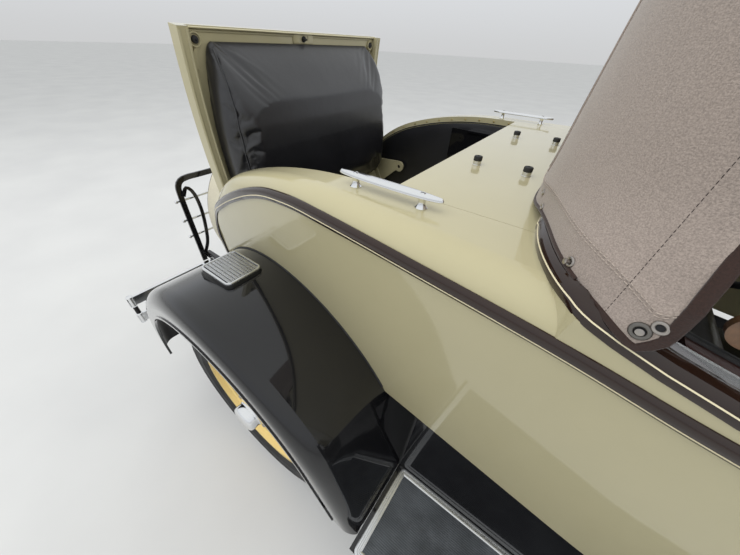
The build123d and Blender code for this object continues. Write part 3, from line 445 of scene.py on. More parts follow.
def tree_of(obj):
    """A search tree of an object's faces at rest."""
    return BVHTree.FromPolygons([vert.co for vert in obj.data.vertices],
                                [tuple(face.vertices) for face in obj.data.polygons])


def seen(px, py, tree):
    """Where the camera's ray through a place in the photograph meets a surface, and its normal."""
    ray = Vector(((px - PHOTO_WIDTH / 2) / FOCAL_PIXELS, (PHOTO_HEIGHT / 2 - py) / FOCAL_PIXELS, -1.0))
    way = (SCENE.camera.matrix_world.to_3x3() @ ray).normalized()
    place, normal, _, _ = tree.ray_cast(CAMERA_PLACE, way)
    return place and (place, normal if normal.dot(way) < 0 else -normal)


def cast_side(x, z, side, tree):
    """The flank's surface and normal at a height, met from outside."""
    place, normal, _, _ = tree.ray_cast(mm(x, side * 950, z), LEFT * -side)
    return place and (place, normal if normal.y * side > 0 else -normal)


def near(values, i, reach):
    return values[max(0, i - reach):i + reach + 1]


def averaged(normals, reach=3):
    """Normals smoothed along their line."""
    return [sum(near(normals, i, reach), Vector()).normalized() for i in range(len(normals))]


def stitches(places, normals, length=4.2, pitch=6.5, thick=0.75):
    """Short raised threads along a line that lies on a surface."""
    shapes = []
    travelled = next_at = 0.0
    for a, b, normal in zip(places, places[1:], normals):
        run = (b - a).length / MM
        if run == 0:
            continue
        way = (b - a).normalized()
        half, dip = way * (length / 2 * MM), normal * (thick * 0.9 * MM)
        while next_at < travelled + run:
            middle = a + way * ((next_at - travelled) * MM) + normal * (thick * 0.4 * MM)
            ends = [middle - half - dip, middle - half * 0.6, middle + half * 0.6, middle + half - dip]
            shapes.append(tube(ends, thick, 5))
            next_at += pitch
        travelled += run
    return shapes


# Belt moulding with its pinstripe, along the quarters, doors and cowl
BELT_PATH = (
    # ahead of the rear axle, height: the middle of the moulding
    (-448, 692), (-447, 760), (-438, 825), (-418, 876), (-372, 924), (-315, 960), (-230, 1008), (-142, 1050),
    (-70, 1079), (0, 1100), (70, 1111), (148, 1117), (280, 1116), (420, 1112), (594, 1106), (700, 1100),
    (815, 1089), (945, 1085), (1200, 1083), (1480, 1082), (1560, 1076), (1697, 1056),
)
BELT_RUNS = (
    # surface node, first and last place, whether it rides on a door
    ("quarter_panel", -450, 942, False),
    ("door", 948, 1474, True),
    ("cowl", 1482, 1698, False),
)
BELT_PARTS = (
    # name, material, section
    ("moulding", "brown", ((-14.5, -1), (-14.5, 2.2), (-12.5, 3.6), (-10.5, 4.2), (-9, 6.0), (-4, 7.6),
                           (1, 8.2), (6, 7.6), (10, 5.8), (13, 3.0), (14.5, 0), (14.5, -1))),
    ("pinstripe", "cream_line", ((-6.9, 6.4), (-6.9, 7.3), (-4.7, 7.9), (-4.7, 7.0))),
)
FLANKS = {(node, word): tree_of(NODES[f"{node}_{word}"])
          for node in ("quarter_panel", "door") for word in SIDES}
FLANKS["cowl", "left"] = FLANKS["cowl", "right"] = tree_of(NODES["cowl"])


def make_belt(word, side):
    path = curve_through([(x, 0, z) for x, z in BELT_PATH], 14.0)
    for node, start, end, on_door in BELT_RUNS:
        line = [point for point in path if start <= point.x <= end]
        if node != "quarter_panel":
            line = [Vector((start, 0, line[0].z)), *line[1:-1], Vector((end, 0, line[-1].z))]
        hits = [cast_side(point.x, point.z, side, FLANKS[node, word]) for point in line]
        places, normals = zip(*filter(None, hits))
        for name, finish, section in BELT_PARTS:
            piece(f"belt_{name}_{node}_{word}", [sweep(places, section, averaged(normals, 4), -side)], finish,
                  f"{word}_door" if on_door else "chassis")


for word, side in SIDES.items():
    make_belt(word, side)

# Rail round the cockpit and along the doors
RAIL_CORNER = (
    # the rail's outer edge on one side, from the middle behind the seat
    (579, 0), (579, 200), (579, 415), (582, 445), (587, 474), (594, 502), (604, 530), (616, 557), (629, 581),
    (643, 602), (657, 617), (675, 625),
)
RAIL_BESIDE = (705, 740, 780, 820, 860, 900, 942)
DOOR_START = 945
SILL = ((500, 1164), (650, 1164), (705, 1145), (753, 1133), (821, 1121), (2400, 1112))
RAIL_ROUND = ((2, -1), (3, 4), (2.6, 9), (0.8, 14), (-2.5, 18.5), (-7, 21.5), (-12, 22.6), (-15, 24.6),
              (-18, 24.6), (-21, 23), (-42.5, 23), (-42.5, -1))
RAIL_SQUARE = ((3.1, -1), (3.3, 5), (3.3, 11), (3.2, 16), (2.2, 20.5), (-2, 23), (-12, 23.4), (-15, 25),
               (-18, 25), (-21, 23.4), (-43, 23.4), (-43, -1))
RAIL_STRIPE = ((2.2, 9.6), (2.95, 9.7), (2.6, 11.4), (1.9, 11.3))
RAIL_STRIPE_SQUARE = ((3.1, 9.7), (3.7, 9.7), (3.7, 11.4), (3.1, 11.4))


def sill_z(x):
    for (x0, z0), (x1, z1) in zip(SILL, SILL[1:]):
        if x <= x1:
            return z0 + (z1 - z0) * (x - x0) / (x1 - x0)
    return SILL[-1][1]


def flank_y(x, word):
    """The flank's half-width just below the sill, from its own surface."""
    node = "quarter_panel" if x < DOOR_START else "door"
    return abs(cast_side(x, sill_z(x) - 6, SIDES[word], FLANKS[node, word])[0].y) / MM


def sill_line(word, start, end):
    return [mm(x, SIDES[word] * flank_y(x, word), sill_z(x)) for x in range(start, end, 12)]


def rail_line(word):
    """The rail's outer edge from the middle behind the seat to the door's gap."""
    edge = [(x, y, 0) for x, y in (*RAIL_CORNER, *((x, flank_y(x, word)) for x in RAIL_BESIDE))]
    return [mm(point.x, SIDES[word] * point.y, sill_z(point.x)) for point in curve_through(edge, 12.0)]


def blended(first, second, share):
    return [(a + (c - a) * share, b + (d - b) * share) for (a, b), (c, d) in zip(first, second)]


rail_path = [*reversed(rail_line("right")), *rail_line("left")[1:]]
shares = [min(1, max(0, ((point.x - REAR_AXLE_X) / MM - 800) / 120)) for point in rail_path]
for name, finish, corner, beside in (("finish", "brown", RAIL_ROUND, RAIL_SQUARE),
                                     ("pinstripe", "cream_line", RAIL_STRIPE, RAIL_STRIPE_SQUARE)):
    sections = [blended(corner, beside, share) for share in shares]
    rail = piece(f"cockpit_rail_{name}", [sweep(rail_path, sections, UP)], finish)
    if name == "finish":
        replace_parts(rail, "cockpit_rail")
for word, side in SIDES.items():
    line = sill_line(word, 949, 1474)
    piece(f"door_rail_{word}", [sweep(line, RAIL_SQUARE, UP, side)], "brown", f"{word}_door")
    piece(f"door_rail_pinstripe_{word}", [sweep(line, RAIL_STRIPE_SQUARE, UP, side)], "cream_line",
          f"{word}_door")

# Soft top: one cloth over the bows, its rear curtain rounding the cockpit
TOP_PLAN = (
    # one side, from the middle of the rear to the front of the quarter: the cloth's lower edge, then the
    # same place across and along at the height of the shoulder
    (548, 0, 1169, 548, 0), (548, 63, 1169, 548, 63), (548, 127, 1169, 548, 127), (548, 190, 1169, 548, 190),
    (548, 235, 1169, 548, 238), (548, 280, 1169, 549, 285), (551, 325, 1171, 552, 332),
    (558, 365, 1177, 558, 375), (570, 407, 1185, 570, 420), (584, 446, 1188, 584, 456),
    (598, 486, 1189, 600, 488), (613, 528, 1189, 618, 517), (631, 566, 1188, 638, 545),
    (653, 596, 1185, 660, 569), (678, 618, 1178, 684, 590), (700, 631, 1168, 703, 602),
    (718, 636, 1162, 718, 609), (731, 637, 1182, 731, 612),
)
TOP_FRONT = (780, 830, 900, 980, 1060, 1140, 1220, 1300, 1380, 1440, 1486)
WALL_SHARES = (0, 0.018, 0.045, 0.08, 0.1, 0.12, 0.16, 0.22, 0.29, 0.37, 0.45, 0.53, 0.6056, 0.68, 0.76, 0.85,
               0.9536, 1.0)
WALL = len(WALL_SHARES)
HEM = 4
HEM_RISE = {3: 0.8, HEM: 4.0, 5: 0.7}
SHOULDER_Z = 1600
SHOULDER = ((5, -43), (10, -32), (20, -19), (38, -7), (70, -2), (130, 0))
RIDGE_SHARES = (0.3, 0.65, 1.0)
RIDGE = WALL + len(SHOULDER) + len(RIDGE_SHARES) - 1
TOP_LEAN = 0.109
LEAN_FROM = 1180
QUARTER_END = 745
WINDOW_HALF, WINDOW_LOW, WINDOW_HIGH = 190, 1430, 1580
CORNER_COLUMNS = 17


def roof_z(x):
    """The roof's height along the car, an arc through the rear, the crown and the front."""
    reach, drop = (420, 105) if x < 1020 else (470, 65)
    return 1745 - drop * ((x - 1020) / reach) ** 2


def finer_plan():
    """The plan's places with more between them, past the window's own columns."""
    fine = []
    ends = [TOP_PLAN[0], *TOP_PLAN, TOP_PLAN[-1]]
    for i, run in enumerate(zip(ends, ends[1:], ends[2:], ends[3:])):
        parts = 1 if i < 4 else 4
        fine += [tuple(spline(*values, k / parts) for values in zip(*run)) for k in range(parts)]
    return [*fine, TOP_PLAN[-1]]


def top_column(station, inward, front=False):
    """The cloth's places up one station, from its lower edge to the ridge."""
    bx, by, bz, ux, uy = station
    rearness = max(0.0, inward[0])
    column = []
    for share in WALL_SHARES:
        z = bz + (SHOULDER_Z - bz) * share
        settle = min(1, max(0, (z - bz) / 110))
        settle = settle * settle * (3 - 2 * settle)
        x = bx + (ux - bx) * settle + TOP_LEAN * max(0, z - LEAN_FROM) * rearness
        y = by + (uy - by) * settle
        bulge = 3.5 * sin(pi * share) * (0.3 + 0.7 * rearness)
        column.append((x - inward[0] * bulge, y - inward[1] * bulge, z))
    x0, y0, _ = column[-1]
    if front:
        column = [(x0, y0, 1642)] * WALL
    for inset, below in SHOULDER:
        x = x0 + inward[0] * inset
        column.append((x, max(0.0, y0 + inward[1] * inset), roof_z(x) + below))
    xa, ya, _ = column[-1]
    for share in RIDGE_SHARES:
        x = xa + (max(760.0, x0) - xa) * share
        column.append((x, ya * (1 - share), roof_z(x) - 2.8 * sin(pi * share) + 3 * share))
    return column


def top_columns():
    """Every column on one side, each with the first level that shows."""
    plan = finer_plan()
    columns = []
    for i, station in enumerate(plan):
        around = near(plan, i, 1)
        dx, dy = around[-1][3] - around[0][3], around[-1][4] - around[0][4]
        size = sqrt(dx * dx + dy * dy)
        columns.append((top_column(station, (dy / size, -dx / size)), 0))
    for x in TOP_FRONT:
        half = 612 - (x - QUARTER_END) / 745 * 22
        columns.append((top_column((x, half, SHOULDER_Z, x, half), (0.0, -1.0), True), WALL - 1))
    return columns


def hump(value, middle, width):
    return 2.718 ** (-((value - middle) / width) ** 2)


def cloth_relief(x, y, z, level):
    """Soft folds: how far the cloth stands off its smooth form."""
    spot = Vector((x, y, z)) * 0.0042
    relief = noise.noise(Vector((spot.x * 1.4, spot.y * 1.4, spot.z * 0.8))) * 3.2
    relief += noise.noise(Vector((x, y, z)) * 0.014) * 0.9
    if abs(y) > 480 and level < WALL:
        low = z - 1165
        tuck = max(0.0, 1 - (748 - x) / 150) * 4.5 * sin(low / 34.0 + x / 30.0) * max(0.0, 1 - low / 330)
        fold = 3.5 * hump(z, 1258, 22) - 7 * hump(z, 1292, 20)
        relief += tuck + max(0.0, 1 - (731 - x) / 95) * fold
    return relief


def off_form(x, y, z, level):
    """A place on the cloth, standing off its smooth form by its folds and hem."""
    away = cloth_relief(x, y, z, level) * (0.35 if level == RIDGE else 1)
    if level >= WALL:
        return mm(x, y, z) + UP * (away * 0.6 * MM)
    out = Vector((x - 930, y * 1.6, 0)).normalized() if x < QUARTER_END else LEFT * (1 if y > 0 else -1)
    return mm(x, y, z) + out * ((max(-2.5, away * min(1, level / 3)) + HEM_RISE.get(level, 0)) * MM)


def make_top():
    half = top_columns()
    rows = [([(x, side * y, z) for x, y, z in column], start)
            for side, columns in ((-1, reversed(half)), (1, half[1:])) for column, start in columns]
    points = [[off_form(*place, level) for level, place in enumerate(row)] for row, _ in rows]
    first = [start for _, start in rows]
    count = RIDGE + 1
    faces = []
    for i in range(len(rows) - 1):
        for j in range(max(first[i], first[i + 1]), RIDGE):
            corners = [row[level] for row, _ in rows[i:i + 2] for level in (j, j + 1)]
            x, y, z = (sum(values) / 4 for values in zip(*corners))
            if x >= 700 or abs(y) >= WINDOW_HALF or not WINDOW_LOW < z < WINDOW_HIGH:
                faces.append((i * count + j, (i + 1) * count + j, (i + 1) * count + j + 1, i * count + j + 1))
    cloth = piece("top_cloth", [([point for row in points for point in row], faces)], "canvas")
    subdivided(cloth)
    thickened(cloth, 0.0022)
    return settled(cloth), points, first


def subdivided(obj):
    finer = obj.modifiers.new("finer", "SUBSURF")
    finer.levels = finer.render_levels = 1


def thickened(obj, thickness):
    shell = obj.modifiers.new("thickness", "SOLIDIFY")
    shell.thickness = thickness


def settled(obj):
    """Applies an object's modifiers."""
    mesh = bpy.data.meshes.new_from_object(obj.evaluated_get(bpy.context.evaluated_depsgraph_get()))
    obj.modifiers.clear()
    obj.data = mesh
    mesh.shade_smooth()
    return obj


top_cloth, top_points, top_first = make_top()
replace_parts(top_cloth, "soft_top")
TOP_TREE = tree_of(top_cloth)


def on_top(line, lift=0.0):
    """Places and normals on the cloth nearest to a line."""
    places, normals = [], []
    for point in line:
        place, normal, _, _ = TOP_TREE.find_nearest(point)
        if normal.dot(point - mm(1000, 0, 1400)) < 0:
            normal = -normal
        places.append(place + normal * (lift * MM))
        normals.append(normal)
    return places, averaged(normals, 2)


def binding_strip(line):
    """A folded strip over the cloth's edge, narrower where it starts."""
    section = ((-6.5, -2.8), (-6.5, 0.9), (-5.4, 1.7), (4.8, 1.7), (5.8, 1.0), (6.3, 0.3), (6.3, -2.8))
    normals = []
    for point in line:
        lengthwise = 0.55 if point.x < mm(744, 0, 0).x else 0.0
        normals.append(((point - mm(980, 0, 0)) * Vector((lengthwise, 1, 0))).normalized())
    shares = [min(1.0, 0.3 + 0.7 * k / 14) for k in range(len(line))]
    return sweep(line, [[(u * share, v) for u, v in section] for share in shares], normals)


full_columns = [row for row, start in zip(top_points, top_first) if start == 0]
front_rows = [row for row, start in zip(top_points, top_first) if start]
edge_line = [row[0] for row in full_columns]
top_trim = [piece("top_welt", [tube(edge_line[CORNER_COLUMNS:-CORNER_COLUMNS], 3.2)], "binding")]
threads = []
for drop in (0, 3.5):
    threads += stitches(*on_top([row[HEM] - UP * (drop * MM) for row in full_columns], 0.2))
top_trim.append(piece("top_hem_stitching", threads, "thread"))

binding = []
for columns in (full_columns[:CORNER_COLUMNS], full_columns[::-1][:CORNER_COLUMNS]):
    edge = [row[0] for row in reversed(columns)]
    binding.append(curve_through([*edge[::2], *columns[0][1:WALL]], 9.0 * MM))
for side in (-1, 1):
    rows = sorted((row for row in front_rows if row[0].y * side > 0), key=lambda row: row[0].x)
    binding.append([row[WALL - 1] for row in rows])
top_trim.append(piece("top_binding", [binding_strip(line) for line in binding], "binding"))

HEADER = ((-9, -2.8), (-9, 1), (-7, 1.9), (7, 1.9), (9, 1), (9, -2.8))
right_front, left_front = (min(front_rows, key=lambda row: (-row[0].x, row[0].y * sign)) for sign in (1, -1))
header = right_front[WALL:] + left_front[-2:WALL - 1:-1]
header_up = [Vector((0.25, 0, 1) if abs(p.y) < 0.5 else (0.2, p.y, 0.8)).normalized() for p in header]
top_trim.append(piece("top_header_binding", [sweep(header, HEADER, header_up)], "binding"))


# The diagonal seam and the snaps, where the photograph shows them, on both sides
def mirrored(vectors):
    return [Vector((v.x, -v.y, v.z)) for v in vectors]


def both_sides(*lines):
    return lines, tuple(mirrored(line) for line in lines)


SEAM_START, SEAM_END, SEAM_STEPS = Vector((605.5, 311)), Vector((740, 157)), 60
seam_pixels = [SEAM_START.lerp(SEAM_END, k / SEAM_STEPS) for k in range(SEAM_STEPS + 1)]
places, normals = zip(*filter(None, (seen(*pixel, TOP_TREE) for pixel in seam_pixels)))
threads = []
for line, ups in both_sides(places, averaged(normals)):
    threads += stitches(line, ups, 3.2, 5.0, 0.33)
top_trim.append(piece("top_seam_stitching", threads, "dark_thread"))

SNAPS = (
    # pixel across and down, the cup's radius, its stud's height
    (544, 192, 5.5, 0), (542.5, 207, 5.5, 0), (571, 262, 7.0, 9.0), (640, 331, 9.8, 4.5), (661, 328, 7.6, 0),
)
WASHER_RADIUS = 9
CUP_RIM = ((0.48, 1.2), (0.55, 2.2), (0.68, 2.7), (0.84, 2.5), (0.97, 1.5), (1, 0.4), (1, -0.8))
# A dark disc in each cup's hollow, as painted shade: radius share and height
SOCKET_SHADE = ((0.5, 1.0), (0.62, 1.6), (0.62, -0.5))
snaps, socket_shades, washers = [], [], []
for px, py, radius, tall in SNAPS:
    place, normal = seen(px, py, TOP_TREE)
    for (at,), (up,) in both_sides([place], [normal]):
        rim = lathe([(radius * share, along) for share, along in CUP_RIM], at, up, 28)
        (washers if radius > WASHER_RADIUS else snaps).append(rim)
        # Painted shade: a flat dark disc fills the cup's hollow
        floor = [(radius * share, along) for share, along in SOCKET_SHADE]
        socket_shades.append(lathe([(0.01, 1.0), *floor], at, up, 24))
        if tall:
            stud = [(2.6, 0.5), (2.3, tall - 3), (3.6, tall - 2), (3.8, tall - 0.6), (2.4, tall), (0.01, tall)]
            snaps.append(lathe(stud, at, up, 20))
top_trim += [piece("top_snaps", snaps, "nickel"), piece("top_snap_washers", washers, "old_nickel"),
             piece("top_snap_socket_shade", socket_shades, "dark")]


def picture_x(point):
    """How far across the photograph a place falls, in focal lengths."""
    local = SCENE.camera.matrix_world.inverted() @ point
    return local.x / -local.z


# A dark welt up the rear corner where the cloth's edge shows, and a lapped seam beside it
right_columns = [row for row in full_columns if row[0].y < 0]
edge_column = min(range(len(right_columns)), key=lambda k: picture_x(right_columns[k][12]))
for name, finish, radius, behind in (("top_corner_welt", "binding", 2.4, 0),
                                     ("top_lapped_seam", "canvas", 1.9, 3)):
    column = right_columns[max(0, edge_column - behind)]
    line, _ = on_top(curve_through(column[HEM + 1:WALL + 2], 10.0 * MM), 0.6)
    top_trim.append(piece(name, [tube(run, radius, 8) for run, in both_sides(line)], finish))


# Rear window
def curtain(y, z, out):
    """A place behind the rear curtain."""
    return mm(548 + TOP_LEAN * (z - LEAN_FROM) - out, y, z)


pane_levels = (WINDOW_LOW - 4, WINDOW_LOW + 73, WINDOW_HIGH + 4)
pane = [[curtain(WINDOW_HALF * (k / 6 - 1), z, 3) for z in pane_levels] for k in range(13)]
window = piece("top_rear_window", [grid(pane)], "glass")
thickened(window, 0.0015)
settled(window)
WINDOW_BINDING = ((-7, -2), (-7, 1), (-5, 2), (5, 2), (7, 1), (7, -2))
window_line = [curtain(u, (WINDOW_LOW + WINDOW_HIGH) / 2 + v, 3.5)
               for u, v in outline(2 * WINDOW_HALF + 6, WINDOW_HIGH - WINDOW_LOW + 6, 10, 4)]
rearward = Vector((-1, 0, 0.11)).normalized()
top_trim.append(piece("top_window_binding", [sweep(window_line, WINDOW_BINDING, rearward, closed=True)],
                      "binding"))
top_trim.append(window)

# Places on the body's upper curve, and on the lid as it stands open
LID_PIVOT = (-205.0, 877.0)
LID_TURN = radians(82)


def deck_z(x):
    """The height of the body's upper curve."""
    if x >= 250:
        return 1164.0
    if x >= -160:
        return sqrt(1306.5 ** 2 - (x - 250) ** 2) - 142.5
    return 586.7 + sqrt(max(0.0, 538.5 ** 2 - (x - 9) ** 2))


def turned(x, z, angle):
    """A place in the car's side view, turned about the lid's hinge."""
    dx, dz = x - LID_PIVOT[0], z - LID_PIVOT[1]
    return (LID_PIVOT[0] + dx * cos(angle) - dz * sin(angle), LID_PIVOT[1] + dx * sin(angle) + dz * cos(angle))


def lid_place(x, y, depth):
    """A place on the open lid, from where it lies with the lid closed, below the curve by depth."""
    slope = (deck_z(x + 2) - deck_z(x - 2)) / 4
    size = sqrt(1 + slope * slope)
    x, z = turned(x + depth * slope / size, deck_z(x) - depth / size, LID_TURN)
    return mm(x, y, z)


# Grab handles: a flat bar with tapered, rounded ends on two bell-shaped posts
HANDLE_X, HANDLE_Y, HANDLE_Z = 317, 497, 1183.5
HANDLE_HALF, HANDLE_WIDE = 117, 12.0
HANDLE_LEVELS = ((1.6, 0), (0, 1.2), (0, 4.5), (1.2, 6.6), (4.0, 8.2))
BELL = ((11.4, 0), (11.6, 1.6), (10.0, 3.2), (7.8, 7), (6.8, 12), (6.8, 16), (8.2, 19.5), (8.2, 21))
SCREW_HEAD = ((0.01, 9.4), (4.6, 9.1), (5.6, 7.6), (5.6, 6.0))


def signed_power(value, power):
    return abs(value) ** power * (1 if value > 0 else -1)


def handle_bar(y):
    rows = []
    for inset, height in HANDLE_LEVELS:
        row = []
        for k in range(40):
            u, v = cos(2 * pi * k / 40), sin(2 * pi * k / 40)
            wide = HANDLE_WIDE * (1 - 0.35 * abs(u) ** 3)
            row.append(mm(HANDLE_X + (HANDLE_HALF - inset) * signed_power(u, 0.75),
                          y + (wide - inset) * signed_power(v, 0.7), HANDLE_Z + height))
        rows.append(row)
    return capped(rows)


handles, slot_shades = [], []
for y in (-HANDLE_Y, HANDLE_Y):
    handles.append(handle_bar(y))
    for x in (241, 393):
        handles.append(lathe(BELL, mm(x, y, 1163.5), UP, 28))
        handles.append(lathe(SCREW_HEAD, mm(x, y, HANDLE_Z), UP, 20))
        # Painted shade: a thin dark bar on the screw head stands in for its slot
        slot_shades.append(bar((x - 4.6, x + 4.6), (y - 0.7, y + 0.7), (1192.0, 1193.3), 0.3))
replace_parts(piece("grab_handle_bars", handles, "chrome"), "grab_handles")
# The screw slots' painted shade
piece("grab_handle_screw_slot_shade", slot_shades, "dark")

# Rubber-topped buffers on the deck
COLLAR = ((10.4, 0), (10.6, 1.2), (9.8, 2.0), (9.8, 10.6), (9.2, 11.2))
BUFFER = ((9.0, 10.0), (10.2, 10.8), (10.4, 12), (10.4, 19.4), (9.4, 21.0), (7, 21.5), (3.2, 21.5), (2.6, 20.2),
          (0.01, 20))
buffer_places = [mm(x, y, 1163.6) for x in (381, 501) for y in (-182, 182)]
piece("deck_buffer_collars", [lathe(COLLAR, place, UP, 28) for place in buffer_places], "aluminium")
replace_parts(piece("deck_buffer_caps", [lathe(BUFFER, place, UP, 28) for place in buffer_places], "rubber"),
            "deck_buffers")

# Step plate on the right wing: gasket, pedestal and a ribbed plate with a raised rim
STEP_X, STEP_Y = -106, -639.5
STEP_LAYERS = (
    # name, material, width, depth, corner radius and height of each level
    ("gasket", "rubber", ((148, 125, 20, 838), (148, 125, 20, 855), (144, 121, 19, 858))),
    ("pedestal", "iron", ((143, 120, 18, 856), (141, 118, 17.5, 861), (136, 113, 16, 867))),
    ("recess", "iron", ((122, 99, 9, 871), (122, 99, 9, 872.2))),
    ("ribbed", "aluminium", ((134, 111, 14, 866), (136, 113, 15, 867.6), (136, 113, 15, 873.6),
                             (134, 111, 14, 875.6), (131, 108, 13, 876), (125, 102, 10, 876),
                             (123.5, 100.5, 9, 874.8), (123, 100, 9, 871.6))),
)
rib_columns = [STEP_X - 58 + k * 4 for k in range(30)]
rib_rows = [STEP_Y + (k - 4) * 10.6 for k in range(9)]
ribs = [bar((x - 1.25, x + 1.25), (y - 4.7, y + 4.7), (871.0, 875.4), 0.5)
        for x in rib_columns for y in rib_rows]
for name, finish, levels in STEP_LAYERS:
    shapes = [stack(mm(STEP_X, STEP_Y, 0), FORWARD, LEFT, levels)]
    step = piece(f"step_plate_{name}", shapes + ribs if name == "ribbed" else shapes, finish)
    if name == "ribbed":
        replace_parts(step, "step_plate")

# Running boards: ribbed mats inside bright double-ridged strips
MAT_RIB = ((0, 0.5), (1.2, 2.6), (2.9, 2.6), (4.1, 0.5))
MAT_PROFILE = [(628.0 + 5.0 * k + across, height) for k in range(42) for across, height in MAT_RIB]
RIDGES = ((-9.5, -0.5), (-9.5, 2.0), (-7.5, 3.2), (-3, 3.2), (-1.8, 1.6), (1.8, 1.6), (3, 3.2), (7.5, 3.2),
          (9.5, 2.0), (9.5, -0.5))
mats, strips = [], []
for side in (-1, 1):
    mats.append(grid([[mm(x, side * y, 384 + (z if 540 < x < 1670 else 0.1)) for y, z in MAT_PROFILE]
                      for x in (538, 541, 1668, 1671)]))
    loop = [mm(1104.5 + u, side * 732 + v, 384) for u, v in outline(1152, 226, 7, 4)]
    strips.append(sweep(loop, RIDGES, UP, closed=True))
piece("running_board_mats", mats, "mat")
piece("running_board_strips", strips, "aluminium")

# Welting between the wings and the body, and between the aprons and the wings
APRON_WELT = ((561, 606), (573, 552), (585, 497), (597, 442), (608, 388))
welts = []
for word, side in SIDES.items():
    line = []
    for step in range(61):
        turn = radians(27 + (150 - 27) * step / 60)
        x, z = -40 + 511 * cos(turn), 350 + 511 * sin(turn)
        hit = cast_side(x, z, side, FLANKS["quarter_panel", word]) if z > 616 else None
        if hit:
            line.append(hit[0] + LEFT * (side * MM))
    welts += [tube(line, 3.4, 8), tube([mm(508, side * y, z) for y, z in APRON_WELT], 3.6, 8)]
piece("wing_welting", welts, "rubber")

# Tyres with ribs, shoulder blocks and sidewall lines, polished hub caps, valves
TYRE_WALL = ((246.5, -37), (252, -40), (260, -41), (264, -45), (275, -52.5), (277, -54.5), (279, -53.8),
             (302, -58.5), (304, -59.8), (306, -58.6), (318, -57.3), (332, -52.5), (334, -53.4), (338, -50))
TYRE_RIBS = (-46, -44.5, -33, -32, -28.5, -27.5, -14.5, -13.5, -10.5, -9.5, -2, 2, 9.5, 10.5, 13.5, 14.5, 27.5,
             28.5, 32, 33, 44.5, 46)
GROOVES = ((-32, -28.5), (-13.5, -10.5), (10.5, 13.5), (28.5, 32))
GROOVE_DEPTH, NOTCH_DEPTH = 6.5, 4.5
TREAD_STEPS = 216
HUB_CAP = ((46, 50), (51, 51), (52, 53.5), (50.5, 56), (49.4, 60), (49.2, 78), (47.8, 82), (46.2, 85.6),
           (40, 89.6), (34, 90.9), (18, 91.6), (0.01, 91.8))
HUB_NUT = ((8.5, -8), (8.5, 6), (6.5, 9.5), (0.01, 10.5))
WHEELS = (("front", "left", 2629), ("front", "right", 2629), ("rear", "left", 0), ("rear", "right", 0))
HALF_TRACK, AXLE_Z = 730, 358


def tyre_profile():
    """Radius and distance across of each line round the tyre, and whether notches cut it."""
    crown = []
    for y in TYRE_RIBS:
        grooved = any(low <= y <= high for low, high in GROOVES)
        crown.append((345 + 13 * (1 - (y / 46) ** 2) - (GROOVE_DEPTH if grooved else 0), y, abs(y) > 31))
    walls = [(r, y, False) for r, y in TYRE_WALL]
    return walls + crown + [(r, -y, False) for r, y, _ in reversed(walls)]


def treaded(center, side):
    rows = []
    profile = tyre_profile()
    for k in range(TREAD_STEPS):
        turn = 2 * pi * k / TREAD_STEPS
        cut = 0 if k % 4 else NOTCH_DEPTH
        cuts = [(r - (cut if block else 0), y) for r, y, block in profile]
        rows.append([center + Vector((r * cos(turn), side * y, r * sin(turn))) * MM for r, y in cuts])
    return grid(rows, wrap=True, closed=True)


for end, word, x in WHEELS:
    name, body, side = f"{end}_{word}", f"{end}_wheel_{word}", SIDES[word]
    hub = mm(x, side * HALF_TRACK, AXLE_Z)
    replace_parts(piece(f"tyre_{name}_treaded", [treaded(hub, side)], "tyre", body), f"tyre_{name}")
    piece(f"hub_cap_{name}", [lathe(HUB_CAP, hub, LEFT * side, 48)], "chrome", body)
    valve = [hub + Vector((ahead, side * out, 0)) * MM for ahead, out in ((232, 4), (222, 10), (212, 12))]
    piece(f"valve_{name}", [tube(valve, 3.2, 8)], "rubber", body)
SPARE = mm(-745, 0, 660)
piece("hub_cap_spare", [lathe(HUB_CAP, SPARE, -FORWARD, 48)], "chrome")

# Rear bumper ends, each with its bolt
BOLT = ((0.01, 31), (8, 30.4), (12.5, 27), (13.5, 23), (11, 22.2), (11, -22.2), (13.5, -23), (12.5, -26),
        (8, -28), (0.01, -28.4))
BUMPER_X, BUMPER_Y = -784, 812
piece("bumper_end_bolts",
      [lathe(BOLT, mm(BUMPER_X, y, z), UP, 28) for y in (-BUMPER_Y, BUMPER_Y) for z in (455, 356)], "chrome")
piece("bumper_end_barrels",
      [tube([mm(BUMPER_X, y, z) for z in (333, 400, 478)], 9.5, 16) for y in (-BUMPER_Y, BUMPER_Y)], "iron")

# Luggage rack, folded up: black frame with curved inner straps and round chrome rods
RACK_BARS = (
    # along, across, height
    ((-860, -402), (388, 416), (455, 485)), ((-430, -390), (360, 416), (484, 504.8)),
)
RACK_SECTION = ((-12, -5), (-12, 4), (-11, 5), (11, 5), (12, 4), (12, -5))
RACK_HALF = ((428, 440), (428, 560), (428, 700), (427, 800), (422, 846), (404, 870), (370, 878), (300, 878))
STRAP_SECTION = ((-8, -2.5), (-8, 2.5), (8, 2.5), (8, -2.5))
STRAP = ((-852, 418, 800), (-846, 396, 838), (-842, 372, 800), (-842, 366, 700), (-846, 384, 560),
         (-852, 414, 486))
ROD_END = ((0.01, -9), (5.5, -7.5), (8.6, -3), (8.6, 3), (5.5, 7.5), (0.01, 9))
rack = [bar(along, sorted((side * across[0], side * across[1])), height, 2)
        for along, across, height in RACK_BARS for side in (-1, 1)]
frame_run = bent([*((-860, -y, z) for y, z in RACK_HALF), (-860, 0, 878),
                  *((-860, y, z) for y, z in reversed(RACK_HALF))], 16)
rack.append(sweep(frame_run, RACK_SECTION, -FORWARD))
for side in (-1, 1):
    rack.append(sweep(bent([(x, side * y, z) for x, y, z in STRAP], 14), STRAP_SECTION, -FORWARD))
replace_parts(piece("luggage_rack_frame", rack, "black"), "luggage_rack")
rods = []
for z in (776, 677, 589):
    rods.append(tube([mm(-874, y, z) for y in (-446, -300, 0, 300, 446)], 6.0, 14))
    rods += [lathe(ROD_END, mm(-874, y, z), LEFT, 20) for y in (-450, 450)]
piece("luggage_rack_rods", rods, "chrome")

